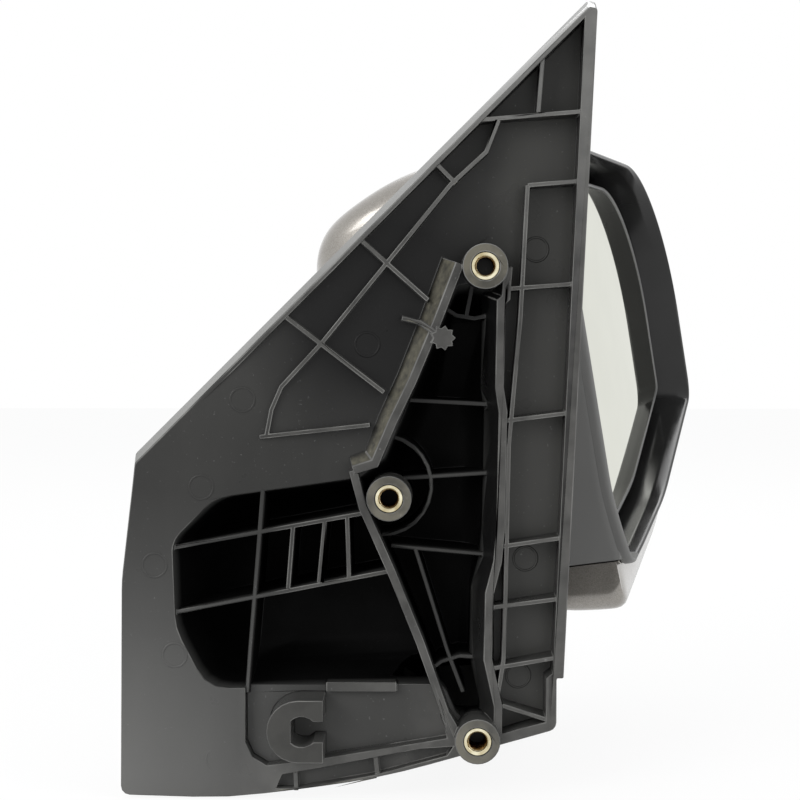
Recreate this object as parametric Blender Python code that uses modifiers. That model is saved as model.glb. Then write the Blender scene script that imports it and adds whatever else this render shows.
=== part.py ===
"""Right-hand car side mirror: a ribbed door base with a hollow arm, a folding head and a glass set by hand.

X points to the rear of the car, Y away from the door and Z up. The origin lies on the flat land of the base
that is pressed against the door skin, so the door plane is Y = 0.
"""
import math

import bmesh
import bpy
from mathutils import Matrix, Vector

MM = 0.001
GAP = 0.3 * MM

# Sail: the flat base plate, seen from the door side
SAIL_FRONT = -10 * MM
SAIL_BOTTOM = -52 * MM
SAIL_SHOULDER = 62 * MM
SAIL_TOP = 212 * MM
SAIL_REAR_TOP = 148 * MM
SAIL_REAR_LOW = 137.6 * MM
SAIL_STEP = -12.5 * MM
SAIL_STEP_IN = 2.3 * MM
SAIL_HEEL = -29.5 * MM
SAIL_LAND_SKIN = 4.5 * MM
SAIL_LEAN = 0.068
SLANT_FOOT_IN = 5.3 * MM
SLANT_TIP = 2.7 * MM
SLANT_RISE = (SAIL_TOP - SAIL_SHOULDER) / (SAIL_REAR_TOP - SLANT_TIP - SAIL_FRONT - SLANT_FOOT_IN)
SLANT_DRAFT = 2.3 * MM
SLANT_WALL = 1.4 * MM
EDGE_ROUND = 2.2 * MM
RIM_WALL = 3.6 * MM
BOTTOM_WALL = 2.4 * MM
BEND_LINE = 18 * MM
WEB_SLOPE = 0.09
RIB = 1.4 * MM
STRAP = 2.8 * MM
STRAP_DRAFT = 5.5 * MM
WALL_DRAFT = 4.5 * MM
ROOT_SINK = 1.0 * MM
RIB_SINK = 0.4 * MM
POCKET_RIB_SINK = 9 * MM
ARM_RIB_SINK = 1.5 * MM

# Bosses and brass inserts, by their centres on the door plane
BOSS_TOP = (111.3 * MM, 124 * MM)
BOSS_MIDDLE = (79.7 * MM, 47.7 * MM)
BOSS_BOTTOM = (109 * MM, -32.7 * MM)
BOSS_RADIUS = 7.5 * MM
BOSS_PROUD = 5 * MM
BOSS_FOOT = 8 * MM
INSERT_RADIUS = 4.45 * MM
INSERT_BORE = 3.0 * MM
INSERT_LENGTH = 13 * MM
INSERT_CHAMFER = 0.6 * MM

# Clip seat, shelf and toothed lug
CLIP_CENTRE = (50 * MM, -28.3 * MM)
CLIP_RADIUS = 10.3 * MM
CLIP_REACH = 8.3 * MM
CLIP_HOLE = 5 * MM
CLIP_HOLE_SHIFT = 1.3 * MM
CLIP_FLAT = 3.6 * MM
CLIP_SLOT = 6.6 * MM
CLIP_PROUD = 11 * MM
SHELF_DEPTH = 5 * MM
CHANNEL_DEPTH = 4 * MM
LUG_CENTRE = (97.5 * MM, 100.5 * MM)
LUG_RADIUS = 4.2 * MM
LUG_TOOTH = 1.0 * MM
LUG_TEETH = 9
LUG_PROUD = 2 * MM

# Arm and foot
ARM_WALL = 3 * MM
POCKET_DEPTH = 32 * MM
POCKET_FOCUS = (85 * MM, 15 * MM)
PIVOT_X = 110 * MM
PIVOT_Y = 110 * MM
FOOT_RADIUS = 25 * MM
FOOT_TOP = -8 * MM
FOOT_HEIGHT = 37 * MM
FOOT_ROUND = 9 * MM

# Fold pivot
POST_RADIUS = 8 * MM
POST_WALL = 3 * MM
POST_BORE = POST_RADIUS - POST_WALL
POST_FIT = POST_RADIUS + GAP
POST_FLANGE_THICK = 3 * MM
POST_CROWN = 2.2 * MM
DETENT_RADIUS = POST_FIT + 2.7 * MM
DETENT_THICK = 1.2 * MM
DETENT_PAD = 1.0 * MM
DETENT_PADS = 3
BUSH_WALL = 2 * MM
SLEEVE_WALL = 3.2 * MM
SLEEVE_LENGTH = 44 * MM
SPRING_WIRE = 1.3 * MM
SPRING_ROOM = 1.9 * MM
SPRING_RADIUS = POST_RADIUS + SPRING_ROOM + SPRING_WIRE
SPRING_TURNS = 5
SPRING_HEIGHT = 18 * MM
WASHER_RADIUS = POST_FIT + 4.3 * MM
WASHER_THICK = 1.4 * MM
RETAINER_RADIUS = POST_RADIUS + 3 * MM
RETAINER_THICK = 1.4 * MM
RETAINER_GROOVE = 1.0 * MM
RETAINER_MOUTH = 9 * MM
SHROUD_RADIUS = 23.5 * MM
SHROUD_WALL = 2 * MM
SHROUD_HEIGHT = 24 * MM
SHROUD_LIFT = 0.6 * MM
POST_SCREWS = 3
POST_SCREW_RADIUS = 1.3 * MM
POST_SCREW_HEAD = 2.4 * MM
POST_SCREW_HEAD_THICK = 1.5 * MM
POST_SCREW_ROOM = POST_SCREW_HEAD + 0.6 * MM
POST_SCREW_CIRCLE = DETENT_RADIUS + POST_SCREW_ROOM
POST_FLANGE = POST_SCREW_CIRCLE + POST_SCREW_ROOM
POST_SCREW_LENGTH = 14 * MM

# Head: the rim plane is turned towards the driver and leans
FRAME_CENTRE = (137.46164 * MM, 157.05996 * MM, 96.05431 * MM)
RIM_YAW = math.radians(18.7)
RIM_LEAN = math.radians(9.0)
RIM_INBOARD = -80.5 * MM
RIM_OUTBOARD = 87 * MM
RIM_TOP = 71 * MM
RIM_LOW_INBOARD = -89.5 * MM
RIM_LOW_MIDDLE = -69 * MM
RIM_LOW_OUTBOARD = -30 * MM
RIM_TOE_IN = 6.5 * MM
RIM_SHOULDER_RADIUS = 64 * MM
HEAD_DEPTH = 116 * MM
HEAD_POWER = 2.8
NOSE_INBOARD = 40 * MM
NOSE_RISE = 20 * MM
BELLY = 0.185
BELLY_RISE = 0.4
COVER_WALL = 2.4 * MM
COVER_START = 5 * MM
RIM_FACE = 4 * MM
RIM_ROUND = 1.2 * MM
WELL_DEPTH = 38 * MM
WELL_DRAFT = 1 * MM
WELL_SLOPE = 7 * MM
FLANGE = 8 * MM
BEZEL_WALL = 2.4 * MM
PANEL_REACH = 55 * MM
PANEL_LOW = -85 * MM
PANEL_HIGH = 58 * MM
PANEL_EDGE = -69.5 * MM
PANEL_SEAM = 0.5 * MM
FRAME_THICK = 3 * MM
FRAME_SETBACK = 4 * MM
FLANGE_BACK = WELL_DEPTH + BEZEL_WALL
FRAME_FRONT = FLANGE_BACK + FRAME_SETBACK
FRAME_ROOM = 1.2 * MM
FRAME_SCREW_RADIUS = 1.5 * MM
FRAME_SCREW_HEAD = 3 * MM
FRAME_SCREW_HEAD_THICK = 2 * MM
FRAME_SCREW_LENGTH = 9 * MM
FRAME_BOSS = 4 * MM
FRAME_HOLE = 17 * MM
STACK_ROOM = 1.5 * MM
GUSSET = 4 * MM
GUSSET_SPREAD = 8 * MM

# Glass, its holder and the swivel that carries it
GLASS_DEPTH = 12 * MM
GLASS_THICK = 2.2 * MM
GLASS_INSET = 9.8 * MM
GLASS_ROOM = 3.2 * MM
PAD_THICK = 0.8 * MM
PAD_INSET = 4 * MM
HOLDER_THICK = 2.4 * MM
HOLDER_LIP = 1.4 * MM
SWIVEL_HEIGHT = -8 * MM
SWIVEL_DEPTH = 30 * MM
SWIVEL_BALL = 7 * MM
SWIVEL_REACH = 14.5 * MM
TRUNNION = 2.4 * MM
EAR_SPAN = 10.5 * MM
EAR_THICK = 3 * MM
EAR_WIDTH = 9 * MM
EAR_REST = 4.5 * MM

for leftover in list(bpy.data.objects):
    bpy.data.objects.remove(leftover, do_unlink=True)

parts = bpy.data.collections.new("car_side_mirror")
cutters = bpy.data.collections.new("cutters")
bpy.context.scene.collection.children.link(parts)
bpy.context.scene.collection.children.link(cutters)


# Shared tools

def material(name, colour, roughness, metallic=0.0):
    made = bpy.data.materials.new(name)
    made.use_nodes = True
    shader = made.node_tree.nodes["Principled BSDF"]
    shader.inputs["Base Color"].default_value = (*colour, 1)
    shader.inputs["Roughness"].default_value = roughness
    shader.inputs["Metallic"].default_value = metallic
    return made


BLACK_PLASTIC = material("black_plastic", (0.035, 0.035, 0.034), 0.45)
GLOSS_BLACK = material("gloss_black", (0.02, 0.02, 0.02), 0.15)
COVER_PAINT = material("cover_paint", (0.5, 0.49, 0.46), 0.3, 0.4)
BRASS = material("brass", (0.78, 0.6, 0.28), 0.3, 1.0)
STEEL = material("steel", (0.55, 0.55, 0.55), 0.35, 1.0)
NYLON = material("nylon", (0.6, 0.58, 0.52), 0.5)
MIRROR = material("mirror", (0.85, 0.86, 0.82), 0.02, 1.0)
FOAM = material("foam", (0.12, 0.12, 0.12), 0.9)


def axes(name, frame, parent=None):
    """Empty whose world frame is given, under a parent empty or the world."""
    made = bpy.data.objects.new(name, None)
    parts.objects.link(made)
    made.parent = parent
    made.matrix_basis = frame if parent is None else parent.matrix_basis.inverted() @ frame
    return made


def mesh_object(name, sheet, group, parent=None):
    mesh = bpy.data.meshes.new(name)
    sheet.to_mesh(mesh)
    sheet.free()
    made = bpy.data.objects.new(name, mesh)
    group.objects.link(made)
    made.parent = parent
    if group is cutters:
        made.hide_render = True
        made.display_type = "WIRE"
    return made


def finish(made, look, smooth_angle=35):
    made.data.materials.append(look)
    made.data.shade_smooth()
    made.data.set_sharp_from_angle(angle=math.radians(smooth_angle))
    return made


def skin_rows(name, sections, group, parent, closed):
    """Skin a row of closed sections that have the same number of points, capped or joined end to end."""
    sheet = bmesh.new()
    rows = [[sheet.verts.new(point) for point in section] for section in sections]
    for low, high in zip(rows, rows[1:] + rows[:1] if closed else rows[1:]):
        for index in range(len(low)):
            after = (index + 1) % len(low)
            sheet.faces.new((low[index], low[after], high[after], high[index]))
    if not closed:
        sheet.faces.new(rows[0])
        sheet.faces.new(rows[-1])
    bmesh.ops.recalc_face_normals(sheet, faces=sheet.faces)
    return mesh_object(name, sheet, group, parent)


def loft(name, sections, group=cutters, parent=None):
    return skin_rows(name, sections, group, parent, False)


def upright(outline, depth):
    """Place a flat (x, z) outline at a depth from the door plane, a number or a function of x."""
    if callable(depth):
        return [Vector((x, depth(x), z)) for x, z in outline]
    return [Vector((x, depth, z)) for x, z in outline]


def slab(name, outline, near, far):
    return loft(name, [upright(outline, near), upright(outline, far)])


def cylinder(name, radius, length, centre, axis, parent=None, segments=24):
    sheet = bmesh.new()
    bmesh.ops.create_cone(sheet, cap_ends=True, segments=segments, radius1=radius, radius2=radius,
                          depth=length)
    turn = Vector((0, 0, 1)).rotation_difference(Vector(axis)).to_matrix().to_4x4()
    bmesh.ops.transform(sheet, matrix=Matrix.Translation(centre) @ turn, verts=sheet.verts)
    return mesh_object(name, sheet, cutters, parent)


def box(name, low, high, parent=None):
    sheet = bmesh.new()
    bmesh.ops.create_cube(sheet, size=1)
    low, high = Vector(low), Vector(high)
    bmesh.ops.scale(sheet, vec=high - low, verts=sheet.verts)
    bmesh.ops.translate(sheet, vec=(low + high) / 2, verts=sheet.verts)
    return mesh_object(name, sheet, cutters, parent)


def turned(name, profile, group, parent=None, steps=28):
    """Turn an (r, height) profile about Z, listed down its outer side and, where it has one, up its bore."""
    sheet = bmesh.new()
    points = [sheet.verts.new((radius, 0, height)) for radius, height in profile]
    solid = profile[0][0] == 0
    for here, after in zip(points, points[1:] if solid else points[1:] + points[:1]):
        sheet.edges.new((here, after))
    made = mesh_object(name, sheet, group, parent)
    screw = made.modifiers.new("turn", "SCREW")
    screw.steps = steps
    screw.render_steps = steps
    screw.use_merge_vertices = True
    screw.merge_threshold = 0.00001
    return made


def ring(name, inner, outer, low, high, group, parent=None):
    return turned(name, [(outer, high), (outer, low), (inner, low), (inner, high)], group, parent)


def combine(made, other, operation):
    cut = made.modifiers.new(other.name, "BOOLEAN")
    cut.operation = operation
    cut.object = other
    cut.solver = "EXACT"
    return made


def band(path, left, right):
    """Closed outline of a strip along an open path, a set width to each side of its direction."""
    points = [Vector(point) for point in path]
    ways = [(after - here).normalized() for here, after in zip(points, points[1:])]
    sides = []
    for index in range(len(points)):
        before = ways[max(index - 1, 0)]
        after = ways[min(index, len(ways) - 1)]
        mean = (before + after).normalized()
        sides.append(Vector((-mean.y, mean.x)) / max(mean.dot(after), 0.5))
    strip = [point + side * left for point, side in zip(points, sides)]
    strip += [point - side * right for point, side in zip(reversed(points), reversed(sides))]
    return strip


def grow(outline, step):
    """Move each side of a closed anticlockwise outline outwards by a step."""
    points = [Vector(point) for point in outline]
    grown = []
    for index, here in enumerate(points):
        before = (here - points[index - 1]).normalized()
        after = (points[(index + 1) % len(points)] - here).normalized()
        mean = (before + after).normalized()
        grown.append(here + Vector((mean.y, -mean.x)) * step / max(mean.dot(after), 0.5))
    return grown


def rounded(corners):
    """Closed outline through (x, y, radius, chords, points on the edge that follows) corners."""
    arcs = []
    for index, (x, y, radius, chords, _) in enumerate(corners):
        here = Vector((x, y))
        back = (Vector(corners[index - 1][:2]) - here).normalized()
        ahead = (Vector(corners[(index + 1) % len(corners)][:2]) - here).normalized()
        half = back.angle(ahead) / 2
        centre = here + (back + ahead).normalized() * radius / math.sin(half)
        first = here + back * radius / math.tan(half) - centre
        start = math.atan2(first.y, first.x)
        turn = math.copysign(math.pi - 2 * half, back.cross(ahead) * -1)
        arcs.append([centre + radius * Vector((math.cos(start + turn * k / chords),
                                               math.sin(start + turn * k / chords)))
                     for k in range(chords + 1)])
    outline = []
    for index, arc in enumerate(arcs):
        following = arcs[(index + 1) % len(arcs)][0]
        extra = corners[index][4]
        outline += arc
        outline += [arc[-1].lerp(following, (k + 1) / (extra + 1)) for k in range(extra)]
    return outline


def plan(*points):
    """Points of the door plane, written in millimetres."""
    return [(x * MM, z * MM) for x, z in points]


# Base: sail, arm and foot

def web(x):
    """Depth of the sail's inner floor, which leaves the door plane at the bend line."""
    return WEB_SLOPE * (x - BEND_LINE)


def skin(x):
    """Depth of the sail's outer face."""
    return SAIL_LAND_SKIN + SAIL_LEAN * (x - SAIL_FRONT)


def rear_edge(z):
    return SAIL_REAR_LOW + (SAIL_REAR_TOP - SAIL_REAR_LOW) * (z - SAIL_STEP) / (SAIL_TOP - SAIL_STEP)


def slant_edge(x):
    return SAIL_SHOULDER + SLANT_RISE * (x - SAIL_FRONT - SLANT_FOOT_IN)


def sail_outline(slant_in, all_in=0.0):
    """Sail seen from the door side, with the slanted edge and the whole outline drawn in."""
    drop = (slant_in + all_in) * math.hypot(1, SLANT_RISE)
    foot = SAIL_FRONT + SLANT_FOOT_IN + all_in
    head = SAIL_REAR_TOP - SLANT_TIP - all_in
    rear = SAIL_REAR_LOW - all_in
    return rounded([
        (SAIL_FRONT + all_in, SAIL_BOTTOM + all_in, 3 * MM, 3, 1),
        (SAIL_FRONT + 36 * MM, SAIL_BOTTOM - 1 * MM + all_in, 150 * MM, 2, 0),
        (SAIL_REAR_LOW - 62 * MM, SAIL_BOTTOM + 5.5 * MM + all_in, 250 * MM, 4, 0),
        (rear - SAIL_STEP_IN, SAIL_HEEL + all_in, 3 * MM, 3, 0),
        (rear - SAIL_STEP_IN, SAIL_STEP, 0.3 * MM, 1, 0),
        (rear, SAIL_STEP + all_in, 0.3 * MM, 1, 1),
        (SAIL_REAR_TOP - all_in, slant_edge(head) - 0.6 * MM - drop, 1 * MM, 2, 0),
        (head, slant_edge(head) - drop, 1 * MM, 2, 2),
        (foot, slant_edge(foot) - drop, 2 * MM, 2, 0),
        (SAIL_FRONT + 0.7 * MM + all_in, 20 * MM, 60 * MM, 2, 0),
    ])


def recess_outline():
    """Sunk area of the sail: within the rim, above the arm's hollow and behind the lower strap."""
    drop = (SLANT_DRAFT + SLANT_WALL) * math.hypot(1, SLANT_RISE)
    start = BEND_LINE - 4 * MM
    peak = SAIL_REAR_TOP - RIM_WALL - 0.6 * MM
    heel = SAIL_REAR_LOW - SAIL_STEP_IN - RIM_WALL
    return plan((14, 46), (66, 53), (71, 44), (90, -1), (102, -31), (104, -35)) + [
        (heel - 8 * MM, SAIL_HEEL + 0.4 * MM),
        (heel, SAIL_HEEL + BOTTOM_WALL),
        (heel, SAIL_STEP),
        (rear_edge(SAIL_STEP) - RIM_WALL, SAIL_STEP + RIM_WALL / 2),
        (peak, slant_edge(peak) - drop),
        (start, slant_edge(start) - drop),
    ]


POCKET = [(x * MM, z * MM, r * MM, chords, extra) for x, z, r, chords, extra in (
    (8.5, 4, 20, 2, 0), (19, -16, 12, 3, 1), (98, -16, 5, 2, 0), (103.5, -29, 4, 2, 0),
    (115.5, -27, 4, 2, 2),
    (115.5, 121, 4, 2, 0), (103, 121, 3, 2, 1), (78, 61, 4, 2, 0), (70, 54.5, 4, 2, 1), (22, 47.5, 16, 3, 0),
    (7.5, 33, 9, 3, 0))]
POCKET_STEPS = ((0.0, 1.0), (0.25, 0.975), (0.55, 0.93), (0.83, 0.85), (0.96, 0.74), (1.0, 0.6))


def pocket_section(scale, out):
    focus = Vector(POCKET_FOCUS)
    return grow([focus + (point - focus) * scale for point in rounded(POCKET)], out)


def pocket(name, out, near, deeper):
    """The arm's hollow, drawn in with depth like a dish, grown outwards and deepened for its wall."""
    rows = [upright(pocket_section(1.0, out), near)]
    for share, scale in POCKET_STEPS:
        rows.append(upright(pocket_section(scale, out), share * POCKET_DEPTH + max(share, 0.1) * deeper))
    return loft(name, rows)


def oval(centre_x, centre_z, half_x, half_z, depth, count=24):
    """Rounded box section of the arm: a superellipse of power four."""
    row = []
    for k in range(count):
        turn = 2 * math.pi * k / count
        away_x = math.copysign(abs(math.cos(turn)) ** 0.5, math.cos(turn))
        away_z = math.copysign(abs(math.sin(turn)) ** 0.5, math.sin(turn))
        row.append(Vector((centre_x + half_x * away_x, depth, centre_z + half_z * away_z)))
    return row


def neck(name, wall_in, start, end):
    """The arm from the dish to the foot, as wide as the foot at its end."""
    foot_z = FOOT_TOP - FOOT_HEIGHT / 2
    half_x = FOOT_RADIUS - 1 * MM
    half_z = FOOT_HEIGHT / 2 - 0.7 * MM
    rows = [(96 * MM, -13 * MM, 24 * MM, 22 * MM, start),
            (101 * MM, -20 * MM, 25 * MM, 20 * MM, start + 14 * MM),
            (PIVOT_X - 4 * MM, foot_z + 0.5 * MM, half_x, half_z, start + 30 * MM),
            (PIVOT_X, foot_z, half_x, half_z, end)]
    return loft(name, [oval(x, z, wide - wall_in, tall - wall_in, depth)
                       for x, z, wide, tall, depth in rows])


SHELF = plan((31.8, -14), (31.8, -34), (34, -39), (39, -42), (58, -39.4), (99, -32.6), (96, -22), (91, -5),
             (80, -5), (76, -14))
CHANNEL = plan((42, -49.6), (50, -49.4), (74, -45.2), (99, -38.4), (101, -35.4), (90, -36.2), (58, -42.4),
               (44, -45))

WEB_RIBS = (
    plan((108.3, 172), (143, 174.8)),
    plan((130.3, 194), (128.7, 174.3)),
    plan((125.3, 150.7), (142, 152)),
    plan((125.3, 150.7), (123, 106.7), (119.3, 65), (118.3, 14.3), (117.7, -6.3), (115.7, -19.3)),
    plan((119.3, 116.7), (141, 118.3)),
    plan((117.3, 73), (139, 75.7)),
    plan((116.3, 31.3), (137, 34.3)),
    plan((113.7, 11), (136, 14)),
    plan((114, -9.3), (135, -5.7)),
    plan((117.3, -21.7), (133, -26.7)),
    plan((115.7, 172), (111.7, 161.7), (100, 151), (57.3, 98.7), (44, 84.3), (40.7, 76.7), (39, 67.9)),
    plan((94, 159), (101.7, 151.3)),
    plan((69, 134), (92.5, 113)),
    plan((43.5, 109), (78, 82.5)),
    plan((36.7, 67.7), (73.3, 71.7)),
)
POCKET_RIBS = (
    plan((98, 110.5), (102, 108), (108, 107), (116, 108.6)),
    plan((107.3, 118), (105.3, 107.6)),
    plan((86, 79.6), (117, 78)),
    plan((84, 53.3), (117, 55.5)),
    plan((80, 30.6), (117, 27.2)),
    plan((88.3, 29.5), (99, -4.7), (104.5, -19)),
    plan((92, -12.5), (97, -8.6), (103, -6.7), (116, -7.4)),
)
ARM_RIBS = (
    plan((5, 30.2), (74, 42.8)),
    plan((5, 8.4), (80, 23)),
    plan((37.7, 50), (35.7, 25), (33.3, -3.3), (32.2, -18)),
    plan((47.7, 38), (46, 17)),
    plan((58.3, 40), (56.3, 19)),
    plan((65.7, 41), (66.3, 20)),
)
CHANNEL_RIBS = (plan((48.3, -42), (48.7, -51)), plan((75, -38), (76, -46.5)))
UPPER_STRAP = plan((67.7, 56.7), (75, 59), (81.3, 73.7), (87.3, 86), (95.3, 105), (103, 125))
LOWER_STRAP = plan((67.7, 56.7), (71, 44.3), (80.7, 22.3), (90, -0.7), (98.3, -24.3), (102.8, -32))
REAR_WALL = plan((119, 124), (118.3, 113.7), (116.7, 112.3), (116.2, 84), (117.4, 76), (116.7, 36.7),
                 (115.7, 26.3), (113, 15.7), (112.5, -6.3), (116, -22), (115.8, -32))
BOSSES = {"top": BOSS_TOP, "middle": BOSS_MIDDLE, "bottom": BOSS_BOTTOM}
RIB_END = 60 * MM
RING_RADIUS = 16.7 * MM
RING_CENTRE = (77 * MM, 51 * MM)


def boss_ring():
    """Quarter-round rib about the middle boss."""
    return [(RING_CENTRE[0] + RING_RADIUS * math.cos(math.radians(turn)),
             RING_CENTRE[1] + RING_RADIUS * math.sin(math.radians(turn))) for turn in range(78, -91, -14)]


def wall(name, path, near, thick=RIB):
    return slab(name, band(path, thick / 2, thick / 2), near, RIB_END)


def drafted_wall(name, path, near, left_spread, foot):
    """Wall whose left face slopes out with depth."""
    half = STRAP / 2
    return loft(name, [upright(band(path, half, half), near),
                       upright(band(path, half + left_spread, half), foot),
                       upright(band(path, half + left_spread, half), RIB_END)])


def rib_set():
    """All inner walls as one body, trimmed to the sunk areas so that they end just inside the skin."""
    made = drafted_wall("ribs", UPPER_STRAP, -0.4 * MM, STRAP_DRAFT, 8 * MM)
    others = [wall("lower_strap", LOWER_STRAP, -0.2 * MM, STRAP),
              drafted_wall("rear_wall", list(reversed(REAR_WALL)), 0.2 * MM, WALL_DRAFT, 12 * MM),
              wall("boss_ring", boss_ring(), POCKET_RIB_SINK)]
    for sink, group in ((RIB_SINK, WEB_RIBS + CHANNEL_RIBS), (POCKET_RIB_SINK, POCKET_RIBS),
                        (ARM_RIB_SINK, ARM_RIBS)):
        others += [wall("rib", path, sink) for path in group]
    for place in BOSSES.values():
        others.append(cylinder("boss_core", BOSS_RADIUS - 0.1 * MM, RIB_END,
                               (place[0], RIB_END / 2 + 0.5 * MM, place[1]), (0, 1, 0)))
    for other in others:
        combine(made, other, "UNION")
    near = -2 * MM
    room = loft("rib_room", [upright(grow(recess_outline(), ROOT_SINK), near),
                             upright(grow(recess_outline(), ROOT_SINK), lambda x: web(x) + ROOT_SINK)])
    combine(room, pocket("rib_room_arm", ROOT_SINK, near + 0.3 * MM, ROOT_SINK), "UNION")
    combine(room, slab("rib_room_shelf", grow(SHELF, ROOT_SINK), near + 0.6 * MM, SHELF_DEPTH + ROOT_SINK),
            "UNION")
    combine(room, slab("rib_room_channel", grow(CHANNEL, ROOT_SINK), near + 0.8 * MM,
                       CHANNEL_DEPTH + ROOT_SINK), "UNION")
    return combine(made, room, "INTERSECT")


def clip_seat():
    """C-shaped seat for a push-in clip, open to the rear with a keyhole."""
    x, z = CLIP_CENTRE
    outer = [(x + CLIP_RADIUS * math.cos(math.radians(turn)), z + CLIP_RADIUS * math.sin(math.radians(turn)))
             for turn in range(90, 271, 15)]
    throat = math.degrees(math.asin(CLIP_SLOT / 2 / CLIP_HOLE))
    flat = math.degrees(math.acos(-CLIP_FLAT / CLIP_HOLE))
    turns = [throat + (flat - throat) * k / 5 for k in range(6)]
    centre = x + CLIP_HOLE_SHIFT
    hole = [(centre + CLIP_HOLE * math.cos(math.radians(turn)), z + CLIP_HOLE * math.sin(math.radians(turn)))
            for turn in [-turn for turn in turns] + list(reversed(turns))]
    outline = outer + [(x + CLIP_REACH, z - CLIP_RADIUS), (x + CLIP_REACH, z - CLIP_SLOT / 2)] + hole
    outline += [(x + CLIP_REACH, z + CLIP_SLOT / 2), (x + CLIP_REACH, z + CLIP_RADIUS)]
    return slab("clip_seat", outline, -CLIP_PROUD, SHELF_DEPTH + ROOT_SINK)


def toothed_lug():
    x, z = LUG_CENTRE
    outline = []
    for k in range(2 * LUG_TEETH):
        reach = LUG_RADIUS - LUG_TOOTH * (k % 2)
        turn = math.pi * k / LUG_TEETH
        outline.append((x + reach * math.cos(turn), z + reach * math.sin(turn)))
    made = slab("toothed_lug", outline, -LUG_PROUD, 5 * MM)
    arm = slab("lug_arm", band([(84 * MM, 107 * MM), (90 * MM, 105.5 * MM), LUG_CENTRE], RIB / 2, RIB / 2),
               0.3 * MM - LUG_PROUD, 8 * MM)
    return combine(made, arm, "UNION")


def base_bracket():
    """The moulded base: drafted sail, dished arm and round foot, hollowed out and ribbed."""
    corner = EDGE_ROUND * (1 - math.sqrt(0.5))
    made = loft("base_bracket", [
        upright(sail_outline(SLANT_DRAFT), 0.0),
        upright(sail_outline(0.0), lambda x: 0.45 * skin(x)),
        upright(sail_outline(0.0), lambda x: skin(x) - EDGE_ROUND),
        upright(sail_outline(0.0, corner), lambda x: skin(x) - corner),
        upright(sail_outline(0.0, EDGE_ROUND), skin),
    ], parts)
    round_in = FOOT_ROUND * (1 - math.sqrt(0.5))
    low = FOOT_TOP - FOOT_HEIGHT
    foot = turned("foot", [(0, FOOT_TOP), (FOOT_RADIUS, FOOT_TOP), (FOOT_RADIUS, low + FOOT_ROUND),
                           (FOOT_RADIUS - round_in, low + round_in), (FOOT_RADIUS - FOOT_ROUND, low),
                           (0, low)], cutters, steps=32)
    foot.location = (PIVOT_X, PIVOT_Y, 0)
    combine(made, pocket("arm_dish", ARM_WALL, 2 * MM, ARM_WALL), "UNION")
    combine(made, neck("arm_neck", 0.0, 10 * MM, PIVOT_Y - 20 * MM), "UNION")
    combine(made, foot, "UNION")
    recess = loft("recess", [upright(recess_outline(), -3 * MM), upright(recess_outline(), web)])
    combine(made, recess, "DIFFERENCE")
    combine(made, pocket("arm_hollow", 0.0, -2.5 * MM, 0.0), "DIFFERENCE")
    combine(made, slab("shelf", SHELF, -2 * MM, SHELF_DEPTH), "DIFFERENCE")
    combine(made, slab("channel", CHANNEL, -1.5 * MM, CHANNEL_DEPTH), "DIFFERENCE")
    combine(made, neck("neck_hollow", ARM_WALL + 5 * MM, 14 * MM, PIVOT_Y - FOOT_RADIUS - 16 * MM),
            "DIFFERENCE")
    combine(made, rib_set(), "UNION")
    combine(made, clip_seat(), "UNION")
    combine(made, toothed_lug(), "UNION")
    combine(made, box("shelf_ledge", (58.6 * MM, 2.5 * MM, -17.5 * MM), (82 * MM, 9 * MM, -14.5 * MM)),
            "UNION")
    for name, (x, z) in BOSSES.items():
        middle = (BOSS_FOOT - BOSS_PROUD) / 2
        combine(made, cylinder(f"boss_{name}", BOSS_RADIUS, BOSS_FOOT + BOSS_PROUD, (x, middle, z), (0, 1, 0),
                               segments=28), "UNION")
        depth = INSERT_LENGTH + GAP
        bore = cylinder(f"bore_{name}", INSERT_RADIUS + GAP, 2 * depth, (x, -BOSS_PROUD, z), (0, 1, 0))
        combine(made, bore, "DIFFERENCE")
    seat_depth = POST_FLANGE_THICK + GAP
    seat = cylinder("post_seat", POST_FLANGE + GAP, 2 * seat_depth, (PIVOT_X, PIVOT_Y, FOOT_TOP), (0, 0, 1),
                    segments=28)
    combine(made, seat, "DIFFERENCE")
    for index in range(POST_SCREWS):
        hole = cylinder(f"post_screw_hole_{index}", POST_SCREW_RADIUS + GAP, 2 * POST_SCREW_LENGTH,
                        post_screw_place(index, FOOT_TOP), (0, 0, 1), segments=12)
        combine(made, hole, "DIFFERENCE")
    return finish(made, BLACK_PLASTIC)


def brass_insert(name, place):
    """Threaded insert, flush with the boss, with a chamfered mouth."""
    mouth = INSERT_BORE + INSERT_CHAMFER
    made = turned(name, [(INSERT_RADIUS, 0), (INSERT_RADIUS, -INSERT_LENGTH), (INSERT_BORE, -INSERT_LENGTH),
                         (INSERT_BORE, -INSERT_CHAMFER), (mouth, 0)], parts)
    made.location = (place[0], GAP / 2 - BOSS_PROUD, place[1])
    made.rotation_euler = (math.radians(90), 0, 0)
    return finish(made, BRASS)


# Fold pivot, stacked upwards from the foot

def post_screw_place(index, height):
    turn = 2 * math.pi * (index + 0.25) / POST_SCREWS
    return (PIVOT_X + POST_SCREW_CIRCLE * math.cos(turn), PIVOT_Y + POST_SCREW_CIRCLE * math.sin(turn),
            height)


DETENT_LOW = FOOT_TOP + GAP
PAD_HIGH = DETENT_LOW + DETENT_THICK + DETENT_PAD
UPPER_DETENT_LOW = PAD_HIGH + GAP
SLEEVE_LOW = UPPER_DETENT_LOW + DETENT_THICK + GAP
SLEEVE_HIGH = SLEEVE_LOW + SLEEVE_LENGTH
SEAT_HIGH = SLEEVE_HIGH + GAP + WASHER_THICK
CAP_LOW = SEAT_HIGH + SPRING_HEIGHT + 2 * SPRING_WIRE + 2 * GAP
RETAINER_LOW = CAP_LOW + WASHER_THICK + GAP
POST_TOP = RETAINER_LOW + RETAINER_THICK + POST_CROWN
SLEEVE_BORE = POST_FIT + BUSH_WALL + GAP


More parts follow.
